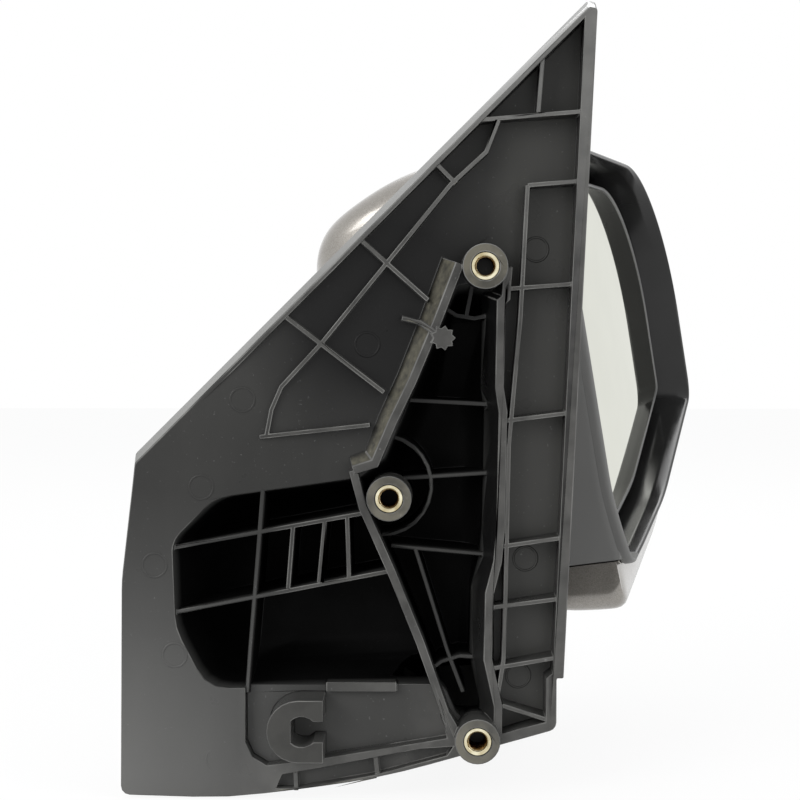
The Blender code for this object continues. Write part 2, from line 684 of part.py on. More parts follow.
def pivot_post(parent):
    groove = POST_RADIUS - RETAINER_GROOVE
    low = FOOT_TOP - POST_FLANGE_THICK
    room = GAP / 2
    made = turned("pivot_post", [
        (POST_RADIUS, POST_TOP), (POST_RADIUS, RETAINER_LOW + RETAINER_THICK + room),
        (groove, RETAINER_LOW + RETAINER_THICK + room), (groove, RETAINER_LOW - room),
        (POST_RADIUS, RETAINER_LOW - room), (POST_RADIUS, FOOT_TOP), (POST_FLANGE, FOOT_TOP),
        (POST_FLANGE, low), (POST_BORE, low), (POST_BORE, POST_TOP)], parts, parent)
    for index in range(POST_SCREWS):
        hole = cylinder(f"flange_hole_{index}", POST_SCREW_RADIUS + GAP, 4 * POST_FLANGE_THICK,
                        post_screw_place(index, FOOT_TOP), (0, 0, 1), segments=12)
        combine(made, hole, "DIFFERENCE")
    return finish(made, STEEL)


def screw_profile(head, head_thick, shank, length):
    """Pan-head screw, its head resting on height zero."""
    return [(0, head_thick), (head * 0.7, head_thick), (head, head_thick * 0.5), (head, 0), (shank, 0),
            (shank, -length + shank), (0.3 * shank, -length), (0, -length)]


def post_screw(index, parent):
    profile = screw_profile(POST_SCREW_HEAD, POST_SCREW_HEAD_THICK, POST_SCREW_RADIUS,
                            POST_SCREW_LENGTH - 2 * GAP)
    made = turned(f"post_screw_{index + 1}", profile, parts, parent, steps=12)
    x, y, height = post_screw_place(index, FOOT_TOP + GAP)
    made.location = (x - PIVOT_X, y - PIVOT_Y, height)
    return finish(made, STEEL)


def lower_detent_ring(parent):
    """Fixed ring with three raised pads."""
    low = DETENT_LOW
    made = ring("lower_detent_ring", POST_FIT, DETENT_RADIUS, low, low + DETENT_THICK, parts, parent)
    inner, outer = POST_FIT + 0.2 * MM, DETENT_RADIUS - 0.2 * MM
    for index in range(DETENT_PADS):
        outline = []
        for reach, span in ((outer, (-20, 0, 20)), (inner, (20, 0, -20))):
            for turn in span:
                angle = math.radians(turn + 360 * index / DETENT_PADS)
                outline.append((PIVOT_X + reach * math.cos(angle), PIVOT_Y + reach * math.sin(angle)))
        pad = loft(f"detent_pad_{index}", [[Vector((x, y, low + DETENT_THICK / 2)) for x, y in outline],
                                           [Vector((x, y, PAD_HIGH)) for x, y in outline]])
        combine(made, pad, "UNION")
    return finish(made, STEEL)


def fold_spring(parent):
    """Compression spring about the post, one unbroken wire with closed end turns left out."""
    per_turn = 10
    count = SPRING_TURNS * per_turn
    pitch = SPRING_HEIGHT / SPRING_TURNS
    start = SEAT_HIGH + GAP + SPRING_WIRE
    curve = bpy.data.curves.new("fold_spring", "CURVE")
    curve.dimensions = "3D"
    curve.bevel_depth = SPRING_WIRE
    curve.bevel_resolution = 1
    curve.use_fill_caps = True
    wire = curve.splines.new("POLY")
    wire.points.add(count)
    for k, point in enumerate(wire.points):
        turn = 2 * math.pi * k / per_turn
        point.co = (SPRING_RADIUS * math.cos(turn), SPRING_RADIUS * math.sin(turn),
                    start + SPRING_HEIGHT * k / count, 1)
    print("fold spring, least gap between turns in mm:", round((pitch - 2 * SPRING_WIRE) / MM, 2))
    made = bpy.data.objects.new("fold_spring", curve)
    parts.objects.link(made)
    made.parent = parent
    curve.materials.append(STEEL)
    return made


def retaining_clip(parent):
    """Open ring that snaps into the groove of the post."""
    made = ring("retaining_clip", POST_RADIUS - RETAINER_GROOVE + GAP, RETAINER_RADIUS, RETAINER_LOW,
                RETAINER_LOW + RETAINER_THICK, parts, parent)
    mouth = box("clip_mouth", (PIVOT_X, PIVOT_Y - RETAINER_MOUTH / 2, RETAINER_LOW - 1 * MM),
                (PIVOT_X + 2 * RETAINER_RADIUS, PIVOT_Y + RETAINER_MOUTH / 2, POST_TOP))
    return finish(combine(made, mouth, "DIFFERENCE"), STEEL)


def pivot_stack(fixed, folding):
    pivot_post(fixed)
    for index in range(POST_SCREWS):
        post_screw(index, fixed)
    lower_detent_ring(fixed)
    fold_spring(fixed)
    finish(ring("spring_cap", POST_FIT, WASHER_RADIUS, CAP_LOW, CAP_LOW + WASHER_THICK, parts, fixed), STEEL)
    retaining_clip(fixed)
    finish(ring("upper_detent_ring", POST_FIT, SLEEVE_BORE + 1.2 * MM, UPPER_DETENT_LOW,
                UPPER_DETENT_LOW + DETENT_THICK, parts, folding), STEEL)
    finish(ring("pivot_bush", POST_FIT, POST_FIT + BUSH_WALL, SLEEVE_LOW + GAP, SLEEVE_HIGH - GAP, parts,
                folding), NYLON)
    finish(ring("spring_seat", POST_FIT, WASHER_RADIUS, SLEEVE_HIGH + GAP, SEAT_HIGH, parts, folding), STEEL)
    low = FOOT_TOP + SHROUD_LIFT
    finish(ring("pivot_shroud", SHROUD_RADIUS - SHROUD_WALL, SHROUD_RADIUS, low, low + SHROUD_HEIGHT, parts,
                folding), BLACK_PLASTIC)


# Head, in the axes of its rim: a runs outboard, b up and c out of the opening

def rim_frame():
    out = Vector((math.cos(RIM_LEAN) * math.cos(RIM_YAW), -math.cos(RIM_LEAN) * math.sin(RIM_YAW),
                  math.sin(RIM_LEAN)))
    outboard = Vector((math.sin(RIM_YAW), math.cos(RIM_YAW), 0))
    up = out.cross(outboard)
    frame = Matrix((outboard, up, out)).transposed().to_4x4()
    frame.translation = Vector(FRAME_CENTRE) + FRAME_FRONT * out
    return frame


def cover_inset(depth):
    """How far the cover's inner face has drawn in from the rim outboard, where it draws in most."""
    share = (depth - COVER_START) / (HEAD_DEPTH - COVER_WALL - COVER_START)
    scale = (1 - share ** HEAD_POWER) ** (1 / HEAD_POWER)
    return RIM_OUTBOARD - (RIM_OUTBOARD - COVER_WALL) * scale + NOSE_INBOARD * share ** 2


FRAME_INSET = cover_inset(FRAME_FRONT + FRAME_THICK) + FRAME_ROOM
WELL_FOOT = RIM_FACE + WELL_DRAFT
WELL_INSET = max(RIM_FACE + WELL_SLOPE, cover_inset(FLANGE_BACK) + BEZEL_WALL + GAP,
                 cover_inset(FRAME_FRONT + FRAME_THICK / 2) + FRAME_BOSS - FLANGE / 2 + GAP)


def rim_outline(inset):
    """Edge of the head's opening, drawn in by an inset."""
    corners = [(RIM_INBOARD + RIM_TOE_IN, RIM_LOW_INBOARD, 7, 4, 2), (0.0, RIM_LOW_MIDDLE, 160, 3, 2),
               (RIM_OUTBOARD, RIM_LOW_OUTBOARD, 14, 4, 1),
               (RIM_OUTBOARD, RIM_TOP, RIM_SHOULDER_RADIUS / MM, 9, 3),
               (RIM_INBOARD, RIM_TOP, 16, 4, 5)]
    moved = grow([corner[:2] for corner in corners], -inset)
    least = 2 * MM
    return rounded([(point.x, point.y, max(radius * MM - inset, least), chords, extra)
                    for point, (_, _, radius, chords, extra) in zip(moved, corners)])


def ring_row(inset, depth, outboard_inset=None):
    """Rim outline drawn in by an inset, and by another one towards the outboard edge if that is given."""
    outline = rim_outline(inset)
    if outboard_inset is not None:
        squeeze = (RIM_OUTBOARD - outboard_inset) / (RIM_OUTBOARD - inset)
        outline = [Vector((point.x * squeeze if point.x > 0 else point.x, point.y)) for point in outline]
    return [Vector((point.x, point.y, -depth)) for point in outline]


def head_row(turn, inset, trim):
    """Section of the head's outer form: the rim outline shrunk along a superellipse towards the nose."""
    power = 2 / HEAD_POWER
    share = math.sin(math.radians(turn)) ** power
    scale = math.cos(math.radians(turn)) ** power
    depth = COVER_START + (HEAD_DEPTH - trim - COVER_START) * share
    belly = 1 + BELLY * math.sin(math.pi * min(share, 1.0) ** BELLY_RISE)
    row = []
    for point in rim_outline(inset):
        up = point.y * scale * (belly if point.y < 0 else 1.0)
        across = point.x * scale - NOSE_INBOARD * share ** 2
        row.append(Vector((across, up + NOSE_RISE * share ** 2, -depth)))
    return row


HEAD_TURNS = (0, 1.5, 4, 8, 14, 22, 33, 46, 60, 73, 83, 88)


def head_bowl(name, shrink, group, parent, lead=0.0):
    """Closed wall of the head's outer form, open at the rim and led on straight past its start."""
    inner = [head_row(turn, COVER_WALL + shrink, COVER_WALL) for turn in reversed(HEAD_TURNS)]
    outer = [head_row(turn, shrink, 0.0) for turn in HEAD_TURNS]
    if lead:
        inner.append(ring_row(COVER_WALL + shrink, COVER_START - lead))
        outer.insert(0, ring_row(shrink, COVER_START - lead))
    return loft(name, inner + outer, group, parent)


def panel_box(name, seam, parent):
    """Block that takes the inboard wall of the head, from its rim to the panel's front edge."""
    low = (2 * RIM_INBOARD, PANEL_LOW - seam, -PANEL_REACH - seam)
    high = (PANEL_EDGE + seam, PANEL_HIGH + seam, 1 * MM)
    return box(name, low, high, parent)


def front_cover(parent):
    made = head_bowl("front_cover", 0.0, parts, parent)
    combine(made, panel_box("panel_notch", PANEL_SEAM, parent), "DIFFERENCE")
    hole = cylinder("shroud_hole", SHROUD_RADIUS + GAP, 80 * MM, (PIVOT_X, PIVOT_Y, -10 * MM), (0, 0, 1),
                    segments=32)
    combine(made, hole, "DIFFERENCE")
    room = cylinder("sleeve_room", SLEEVE_BORE + SLEEVE_WALL + GAP, SLEEVE_LENGTH,
                    (PIVOT_X, PIVOT_Y, SLEEVE_LOW + SLEEVE_LENGTH / 2), (0, 0, 1), segments=28)
    return finish(combine(made, room, "DIFFERENCE"), COVER_PAINT, 50)


def frame_screw_places():
    outline = rim_outline(WELL_INSET + FLANGE / 2)
    return [outline[index] for index in (2, 11, 20, 31)]


def rear_bezel(parent):
    """Rim, well and flange as one swept section, with the inboard wall of the head."""
    lip = COVER_START - PANEL_SEAM
    profile = [(0, lip), (0, RIM_ROUND), (RIM_ROUND, 0), (RIM_FACE - 0.4 * MM, 0),
               (RIM_FACE + 0.6 * MM, RIM_ROUND), (WELL_FOOT, WELL_DEPTH, WELL_INSET),
               (WELL_INSET + FLANGE, WELL_DEPTH), (WELL_INSET + FLANGE, FLANGE_BACK),
               (WELL_FOOT - BEZEL_WALL, FLANGE_BACK, WELL_INSET - BEZEL_WALL),
               (BEZEL_WALL + 0.4 * MM, 3 * MM), (BEZEL_WALL, lip)]
    made = skin_rows("rear_bezel", [ring_row(*point) for point in profile], parts, parent, True)
    panel = head_bowl("panel_wall", 0.15 * MM, cutters, parent, 2 * MM)
    combine(panel, panel_box("panel_block", 0.0, parent), "INTERSECT")
    combine(made, panel, "UNION")
    for index, place in enumerate(frame_screw_places()):
        hole = cylinder(f"flange_screw_hole_{index}", FRAME_SCREW_RADIUS + GAP, 20 * MM,
                        (place.x, place.y, -WELL_DEPTH), (0, 0, 1), parent, 12)
        combine(made, hole, "DIFFERENCE")
    return finish(made, GLOSS_BLACK, 40)


def swivel_ears(name, depth_near, depth_far, along, parent):
    """Pair of ears, one to each side of the swivel."""
    pair = []
    for side in (-1, 1):
        low = side * EAR_SPAN
        high = side * (EAR_SPAN + EAR_THICK)
        reach = (min(low, high), max(low, high))
        across = (-EAR_WIDTH / 2, EAR_WIDTH / 2)
        spans = (reach, across) if along == "a" else (across, reach)
        pair.append(box(f"{name}_{side}", (spans[0][0], spans[1][0] + SWIVEL_HEIGHT, -depth_far),
                        (spans[0][1], spans[1][1] + SWIVEL_HEIGHT, -depth_near), parent))
    return pair


def trunnion_hole(name, axis, parent):
    centre = (0, SWIVEL_HEIGHT, -SWIVEL_DEPTH)
    return cylinder(name, TRUNNION + GAP, 3 * SWIVEL_REACH, centre, axis, parent, 16)


def head_frame(parent, folding):
    """Inner bracket: plate behind the glass, ears for the swivel, screw bosses and the pivot sleeve."""
    made = loft("head_frame", [ring_row(FRAME_INSET, FRAME_FRONT + FRAME_THICK),
                               ring_row(FRAME_INSET, FRAME_FRONT)], parts, parent)
    for index, (a, b) in enumerate(((-36, 30), (38, 26))):
        combine(made, cylinder(f"frame_hole_{index}", FRAME_HOLE, 20 * MM, (a * MM, b * MM, -FRAME_FRONT),
                               (0, 0, 1), parent, 20), "DIFFERENCE")
    height = POST_TOP + STACK_ROOM - SLEEVE_HIGH
    relief = cylinder("stack_relief", WASHER_RADIUS + STACK_ROOM, height, (0, 0, SLEEVE_HIGH + height / 2),
                      (0, 0, 1), folding, 28)
    combine(made, relief, "DIFFERENCE")
    for index, place in enumerate(frame_screw_places()):
        length = FRAME_SETBACK + FRAME_THICK / 2 - GAP
        middle = -FLANGE_BACK - GAP - length / 2
        boss = cylinder(f"frame_boss_{index}", FRAME_BOSS, length, (place.x, place.y, middle), (0, 0, 1),
                        parent, 16)
        combine(made, boss, "UNION")
    for ear in swivel_ears("frame_ear", SWIVEL_DEPTH - EAR_REST, FRAME_FRONT + FRAME_THICK / 2, "b", parent):
        combine(made, ear, "UNION")
    combine(made, trunnion_hole("frame_trunnion_hole", (0, 1, 0), parent), "DIFFERENCE")
    length = SLEEVE_HIGH - SLEEVE_LOW
    sleeve = cylinder("pivot_sleeve", SLEEVE_BORE + SLEEVE_WALL, length,
                      (0, 0, SLEEVE_LOW + length / 2), (0, 0, 1), folding, 28)
    for side in (-1, 1):
        combine(made, gusset(side), "UNION")
    combine(made, sleeve, "UNION")
    bore = cylinder("sleeve_bore", SLEEVE_BORE, 3 * length, (0, 0, SLEEVE_LOW), (0, 0, 1), folding, 28)
    combine(made, bore, "DIFFERENCE")
    for index, place in enumerate(frame_screw_places()):
        combine(made, cylinder(f"frame_screw_bore_{index}", FRAME_SCREW_RADIUS + GAP, 40 * MM,
                               (place.x, place.y, -FRAME_FRONT), (0, 0, 1), parent, 12), "DIFFERENCE")
    return finish(made, BLACK_PLASTIC)


def gusset(side):
    """Upright web from the sleeve to the plate, its rear edge inside the plate's thickness."""
    middle = PIVOT_Y + side * GUSSET_SPREAD
    frame = rim_frame()
    normal = frame.col[2].to_3d()
    origin = frame @ Vector((0, 0, -FRAME_FRONT - FRAME_THICK / 2))

    def plate_x(z):
        return origin.x - (normal.y * (middle - origin.y) + normal.z * (z - origin.z)) / normal.x

    low = SLEEVE_LOW + 18 * MM
    bend = low + 16 * MM
    high = SLEEVE_HIGH - 1 * MM
    inside = PIVOT_X + SLEEVE_BORE
    outline = [(inside, low), (inside + SLEEVE_WALL, low), (plate_x(bend), bend), (plate_x(high), high),
               (inside, high)]
    return slab(f"gusset_{side}", outline, middle - GUSSET / 2, middle + GUSSET / 2)


def frame_screw(index, place, parent):
    profile = screw_profile(FRAME_SCREW_HEAD, FRAME_SCREW_HEAD_THICK, FRAME_SCREW_RADIUS, FRAME_SCREW_LENGTH)
    made = turned(f"frame_screw_{index + 1}", profile, parts, parent, steps=12)
    made.location = (place.x, place.y, GAP - WELL_DEPTH)
    return finish(made, STEEL)


# Glass

PAD_FRONT = GLASS_DEPTH + GLASS_THICK + GAP
HOLDER_FLOOR = PAD_FRONT + PAD_THICK + GAP
HOLDER_BACK = HOLDER_FLOOR + HOLDER_THICK
GLASS_OUTBOARD = WELL_INSET + GLASS_ROOM
HOLDER_EDGE = GAP + HOLDER_LIP


def glass_row(inset, depth):
    """Section of the glass set: the glass outline drawn in by an inset, or grown where it is negative."""
    return ring_row(GLASS_INSET + inset, depth, GLASS_OUTBOARD + inset)


def glass_set(swivelling, parent):
    """Holder with its lip and ears, adhesive pad and glass, made in the rim's axes."""
    shift = Matrix.Translation((0, -SWIVEL_HEIGHT, SWIVEL_DEPTH))
    glass = loft("mirror_glass", [glass_row(0, GLASS_DEPTH + GLASS_THICK), glass_row(0, GLASS_DEPTH)], parts,
                 parent)
    pad = loft("adhesive_pad", [glass_row(PAD_INSET, PAD_FRONT + PAD_THICK), glass_row(PAD_INSET, PAD_FRONT)],
               parts, parent)
    lip_top = GLASS_DEPTH - 0.2 * MM
    round_start = HOLDER_BACK - 1 * MM
    holder = loft("glass_holder", [glass_row(-GAP, HOLDER_FLOOR), glass_row(-GAP, lip_top),
                                   glass_row(-HOLDER_EDGE, lip_top), glass_row(-HOLDER_EDGE, round_start),
                                   glass_row(1 * MM - HOLDER_EDGE, HOLDER_BACK)], parts, parent)
    for made in (glass, pad, holder):
        made.data.transform(shift)
    ear_root = HOLDER_BACK - HOLDER_THICK / 2
    for ear in swivel_ears("holder_ear", ear_root, SWIVEL_DEPTH + EAR_REST, "a", parent):
        ear.data.transform(shift)
        combine(holder, ear, "UNION")
    hole = trunnion_hole("holder_trunnion_hole", (1, 0, 0), parent)
    hole.data.transform(shift)
    combine(holder, hole, "DIFFERENCE")
    finish(glass, MIRROR)
    finish(pad, FOAM)
    finish(holder, BLACK_PLASTIC)
    ball = bmesh.new()
    bmesh.ops.create_uvsphere(ball, u_segments=16, v_segments=10, radius=SWIVEL_BALL)
    cross = mesh_object("swivel_cross", ball, parts, swivelling)
    for axis in ((1, 0, 0), (0, 1, 0)):
        name = f"trunnion_{axis[0]}"
        trunnion = cylinder(name, TRUNNION, 2 * SWIVEL_REACH, (0, 0, 0), axis, swivelling, 16)
        combine(cross, trunnion, "UNION")
    finish(cross, NYLON)


def main():
    base_bracket()
    for name, place in BOSSES.items():
        brass_insert(f"brass_insert_{name}", place)
    pivot_frame = Matrix.Translation((PIVOT_X, PIVOT_Y, 0))
    fixed = axes("post_axis", pivot_frame)
    folding = axes("fold_axis", pivot_frame)
    pivot_stack(fixed, folding)
    rim = axes("rim_axes", rim_frame(), folding)
    front_cover(rim)
    rear_bezel(rim)
    head_frame(rim, folding)
    for index, place in enumerate(frame_screw_places()):
        frame_screw(index, place, rim)
    swivel = axes("swivel_axes", Matrix.Identity(4))
    swivel.parent = rim
    swivel.location = (0, SWIVEL_HEIGHT, -SWIVEL_DEPTH)
    glass_set(swivel, swivel)


main()
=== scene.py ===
# %% [markdown]
# # A car side mirror, seen from the side that bolts to the door
# The CAD frame gives every piece its true size and place. This lesson dresses it: it lays smooth
# surfaces over the pieces that show, and gives each piece a finish made of shader nodes.

# %% Load the frame
import math

import bmesh
import bpy
import numpy as np
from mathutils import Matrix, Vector
from mathutils.bvhtree import BVHTree


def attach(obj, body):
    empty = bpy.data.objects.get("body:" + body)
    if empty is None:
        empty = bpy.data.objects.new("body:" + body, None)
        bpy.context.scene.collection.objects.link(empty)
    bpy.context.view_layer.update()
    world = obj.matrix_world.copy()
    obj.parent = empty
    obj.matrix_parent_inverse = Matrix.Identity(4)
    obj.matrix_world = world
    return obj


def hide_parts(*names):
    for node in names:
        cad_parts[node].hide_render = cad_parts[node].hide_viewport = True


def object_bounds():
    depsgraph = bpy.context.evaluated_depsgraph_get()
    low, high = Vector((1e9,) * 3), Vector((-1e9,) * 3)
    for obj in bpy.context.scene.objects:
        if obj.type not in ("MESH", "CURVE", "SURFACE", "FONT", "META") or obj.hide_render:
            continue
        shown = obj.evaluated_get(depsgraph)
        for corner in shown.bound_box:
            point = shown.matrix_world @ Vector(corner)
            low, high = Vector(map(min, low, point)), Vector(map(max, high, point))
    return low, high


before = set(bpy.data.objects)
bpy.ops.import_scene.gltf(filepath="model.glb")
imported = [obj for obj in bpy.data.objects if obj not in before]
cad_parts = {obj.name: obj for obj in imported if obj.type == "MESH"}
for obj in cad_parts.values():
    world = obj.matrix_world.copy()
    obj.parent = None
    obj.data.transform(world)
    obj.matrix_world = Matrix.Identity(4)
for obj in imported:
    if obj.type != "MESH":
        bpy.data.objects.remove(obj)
cad_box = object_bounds()
MM = 0.001

# %% [markdown]
# ## Camera
# The photograph looks squarely at the door side from about 60 cm. A long lens keeps the base plate's
# edges straight and still lets the head show a little to each side. The camera comes before any piece,
# so that its view can be checked first.

# %% Camera
CAMERA_PLACE = (93.3 * MM, -600 * MM, 103.3 * MM)
CAMERA_AIM = (83.3 * MM, 0.0, 80.0 * MM)
CAMERA_LENS_MM = 81.8
CAMERA_SENSOR_MM = 36
CAMERA_NEAR = 0.01


def linked(name, data):
    """Object for a mesh, lamp or camera, linked to the scene."""
    made = bpy.data.objects.new(name, data)
    bpy.context.scene.collection.objects.link(made)
    return made


def aim_at(thing, place, aim):
    """Put a lamp or camera at a place, with its own -Z axis towards another place."""
    thing.location = place
    thing.rotation_euler = (Vector(aim) - Vector(place)).to_track_quat("-Z", "Y").to_euler()


camera_data = bpy.data.cameras.new("camera")
camera_data.lens = CAMERA_LENS_MM
camera_data.sensor_width = CAMERA_SENSOR_MM
camera_data.clip_start = CAMERA_NEAR
camera = linked("camera", camera_data)
aim_at(camera, CAMERA_PLACE, CAMERA_AIM)
bpy.context.scene.camera = camera
bpy.context.scene.view_settings.view_transform = "Standard"
print("camera at", tuple(round(x, 3) for x in camera.location))

# %% [markdown]
# ## Node helpers
# A finish is a graph of nodes. These helpers add a node, set its sockets and wire it up, so that each
# finish further down reads as a short recipe.


# %% Node helpers
def new_tree(name):
    """Material with an empty node tree."""
    made = bpy.data.materials.new(name)
    made.use_nodes = True
    made.node_tree.nodes.clear()
    return made, made.node_tree


def fill_socket(tree, socket, value):
    """Link another node's output to a socket, or set a plain value on it."""
    if isinstance(value, bpy.types.NodeSocket):
        tree.links.new(value, socket)
    else:
        socket.default_value = value


def add_node(tree, kind, inputs=None, **settings):
    """Add a node, set its properties, then its sockets."""
    made = tree.nodes.new(kind)
    for key, value in settings.items():
        setattr(made, key, value)
    for key, value in (inputs or {}).items():
        fill_socket(tree, made.inputs[key], value)
    return made


def ramp(tree, factor, stops):
    """Colour ramp over a factor, from (position, grey or colour) stops."""
    made = add_node(tree, "ShaderNodeValToRGB", {"Fac": factor})
    elements = made.color_ramp.elements
    while len(elements) < len(stops):
        elements.new(0.5)
    for element, (position, colour) in zip(elements, stops):
        element.position = position
        element.color = (*colour, 1) if isinstance(colour, tuple) else (colour, colour, colour, 1)
    return made.outputs["Color"]


def noise(tree, scale, detail, stretch=(1, 1, 1)):
    """Noise on Object coordinates: scale counts features per metre, and stretch scales each axis."""
    place = add_node(tree, "ShaderNodeTexCoord").outputs["Object"]
    mapped = add_node(tree, "ShaderNodeMapping", {"Vector": place, "Scale": stretch}).outputs["Vector"]
    inputs = {"Vector": mapped, "Scale": scale, "Detail": detail}
    return add_node(tree, "ShaderNodeTexNoise", inputs).outputs["Fac"]


def mix_colours(tree, kind, factor, first, second):
    """Colour Mix node: its A and B sockets are those of type RGBA."""
    made = add_node(tree, "ShaderNodeMix", data_type="RGBA", blend_type=kind)
    sockets = [socket for socket in made.inputs if socket.type == "RGBA"]
    for socket, value in zip([made.inputs[0]] + sockets, (factor, first, second)):
        fill_socket(tree, socket, value)
    return [socket for socket in made.outputs if socket.type == "RGBA"][0]


def mix_shaders(tree, share, first, second):
    """The first shader where the share is zero, and the second where it is one."""
    return add_node(tree, "ShaderNodeMixShader", {0: share, 1: first, 2: second}).outputs[0]


def arithmetic(tree, kind, first, second, **settings):
    """Math node on two sockets or numbers."""
    return add_node(tree, "ShaderNodeMath", {0: first, 1: second}, operation=kind, **settings).outputs[0]


def overlap(tree, first, *others):
    """Product of shares: one only where all of them are one."""
    for other in others:
        first = arithmetic(tree, "MULTIPLY", first, other)
    return first


def between(tree, value, span):
    """Zero before the span's start, one past its end, and a straight line between them."""
    inputs = {"Value": value, "From Min": span[0], "From Max": span[1]}
    return add_node(tree, "ShaderNodeMapRange", inputs).outputs["Result"]


def bump(tree, height, distance, strength, normal=None):
    """Bump whose height of one stands for a distance in metres, laid over another normal if given."""
    inputs = {"Height": height, "Distance": distance, "Strength": strength}
    if normal is not None:
        inputs["Normal"] = normal
    return add_node(tree, "ShaderNodeBump", inputs).outputs["Normal"]


def shaded(made, tree, inputs):
    """Principled shader with the given sockets, on the material's output."""
    shader = add_node(tree, "ShaderNodeBsdfPrincipled", inputs)
    add_node(tree, "ShaderNodeOutputMaterial", {"Surface": shader.outputs["BSDF"]})
    return made


# %% [markdown]
# ## Floor and world
# The room is a pale floor and a bright, even world. A ray from the camera or off a gloss sees white paper,
# while light that only bounces sees a dimmer room, so that the blacks stay black.

# %% Floor and world
FLOOR_DROP = 0.5 * MM
FLOOR_SPAN = 6.0
FLOOR_COLOUR = (0.9, 0.9, 0.9, 1)
PAPER_SHARE = 0.9
ROOM_COLOUR = (0.95, 0.96, 0.97, 1)
ROOM_STRENGTH = 0.8
WHITE = (1, 1, 1, 1)


def seen_by_eye(tree):
    """One where a ray comes from the camera, a gloss or a clear piece, zero for light that bounces."""
    rays = add_node(tree, "ShaderNodeLightPath").outputs
    first = arithmetic(tree, "ADD", rays["Is Camera Ray"], rays["Is Glossy Ray"])
    return arithmetic(tree, "ADD", first, rays["Is Transmission Ray"], use_clamp=True)


floor_corners = np.array([[-1, -1, 0], [1, -1, 0], [1, 1, 0], [-1, 1, 0]]) * FLOOR_SPAN / 2
floor_corners[:, 2] = cad_box[0].z - FLOOR_DROP
floor_mesh = bpy.data.meshes.new("floor")
floor_mesh.from_pydata(floor_corners.tolist(), [], [(0, 1, 2, 3)])
floor = linked("floor", floor_mesh)

floor_look, tree = new_tree("pale_floor")
matte = add_node(tree, "ShaderNodeBsdfDiffuse", {"Color": FLOOR_COLOUR}).outputs[0]
paper = add_node(tree, "ShaderNodeEmission", {"Strength": 1.0}).outputs[0]
lifted = mix_shaders(tree, PAPER_SHARE, matte, paper)
shown = mix_shaders(tree, seen_by_eye(tree), matte, lifted)
add_node(tree, "ShaderNodeOutputMaterial", {"Surface": shown})
floor_mesh.materials.append(floor_look)

world = bpy.data.worlds.new("studio")
bpy.context.scene.world = world
world.use_nodes = True
tree = world.node_tree
tree.nodes.clear()
room = add_node(tree, "ShaderNodeBackground", {"Color": ROOM_COLOUR, "Strength": ROOM_STRENGTH}).outputs[0]
paper = add_node(tree, "ShaderNodeBackground", {"Color": WHITE, "Strength": 1.0}).outputs[0]
shown = mix_shaders(tree, seen_by_eye(tree), room, paper)
add_node(tree, "ShaderNodeOutputWorld", {"Surface": shown})
print("floor at", round(floor_corners[0, 2], 4))

# %% [markdown]
# ## Lamps
# Three square lamps stay weak. The world already lights the part evenly, so that they only have to add
# soft highlights, and large squares give softer ones than points would.

# %% Lamps
# Each lamp has a place, a point to aim at, the side of its square and its power in watts.
LAMPS = {
    "key_left": ((-0.75, -0.95, 0.6), (0.06, 0.0, 0.1), 0.8, 10),
    "fill_right": ((1.0, -0.55, 0.5), (0.12, 0.08, 0.08), 0.7, 3),
    "back_top": ((0.2, 0.9, 1.0), (0.12, 0.12, 0.08), 0.7, 4),
}
for lamp_name, (place, aim, side, watts) in LAMPS.items():
    lamp = bpy.data.lights.new(lamp_name, "AREA")
    lamp.size = side
    lamp.energy = watts
    aim_at(linked(lamp_name, lamp), place, aim)

# %% [markdown]
# ## Dust, wear and painted light on the base
# The base has dust on its slopes and wear on its edges, and painted light is laid into its colour too:
# painted highlights on the edges, painted sheen where its gloss would show the bright room, and painted
# shade in the hollows and creases. A zone is a share between zero and one, worked out from the place on the
# part and from the way the surface faces. Such shares need no painted map, and they stay sharp at any
# distance.

# %% Edges and hollows of the base
BEND_LINE = 18 * MM
WEB_SLOPE = 0.09

# Spans of place that a zone's share grows over, from nothing at the first end to all at the second.
INSIDE_X = (12 * MM, 18 * MM)
INSIDE_Z = (-44 * MM, -38 * MM)
FOOT_HEIGHT = (0.8 * MM, 0.45 * MM)
HOLLOW_HEIGHT = (-0.5 * MM, -4 * MM)
WALL_HEIGHT = (-7 * MM, -1 * MM)
# Painted shade at the foot of ribs and straps, and a darker painted shade down in the hollows.
FOOT_PAINTED_SHADE = (0.022, 0.022, 0.021, 1)
HOLLOW_PAINTED_SHADE = (0.004, 0.004, 0.004, 1)
WALL_GREY = (0.03, 0.03, 0.029, 1)


def plain_layers(tree, colour):
    """A finish with nothing laid over its colour."""
    return colour


def base_place(tree):
    """Object coordinates, and the height over the plate's floor. The floor's depth is its slope times the
    distance past its bend line, and the height is that depth less the point's own."""
    place = add_node(tree, "ShaderNodeTexCoord").outputs["Object"]
    x, y, z = add_node(tree, "ShaderNodeSeparateXYZ", {"Vector": place}).outputs
    past = arithmetic(tree, "MAXIMUM", arithmetic(tree, "SUBTRACT", x, BEND_LINE), 0.0)
    floor_depth = arithmetic(tree, "MULTIPLY", past, WEB_SLOPE)
    return x, y, z, arithmetic(tree, "SUBTRACT", floor_depth, y)


def worn_highlight_and_shade_layers(tree, colour):
    """Bevelled edges are light, partly from wear and partly as a painted highlight. They get a painted
    shade at the foot of ribs and straps, and a darker painted shade down in the hollows. The outline's own
    edge stays light."""
    x, _, z, height = base_place(tree)
    inside = overlap(tree, between(tree, x, INSIDE_X), between(tree, z, INSIDE_Z))
    foot = overlap(tree, inside, between(tree, height, FOOT_HEIGHT))
    colour = mix_colours(tree, "MIX", foot, colour, FOOT_PAINTED_SHADE)
    return mix_colours(tree, "MIX", between(tree, height, HOLLOW_HEIGHT), colour, HOLLOW_PAINTED_SHADE)


def deep_shade_layers(tree, colour):
    """Painted shade: a hollow's walls start in the plate's grey and fade to black as they go down."""
    height = base_place(tree)[3]
    return mix_colours(tree, "MIX", between(tree, height, WALL_HEIGHT), colour, WALL_GREY)


print("the plate's floor slopes from x =", BEND_LINE, "by", WEB_SLOPE)
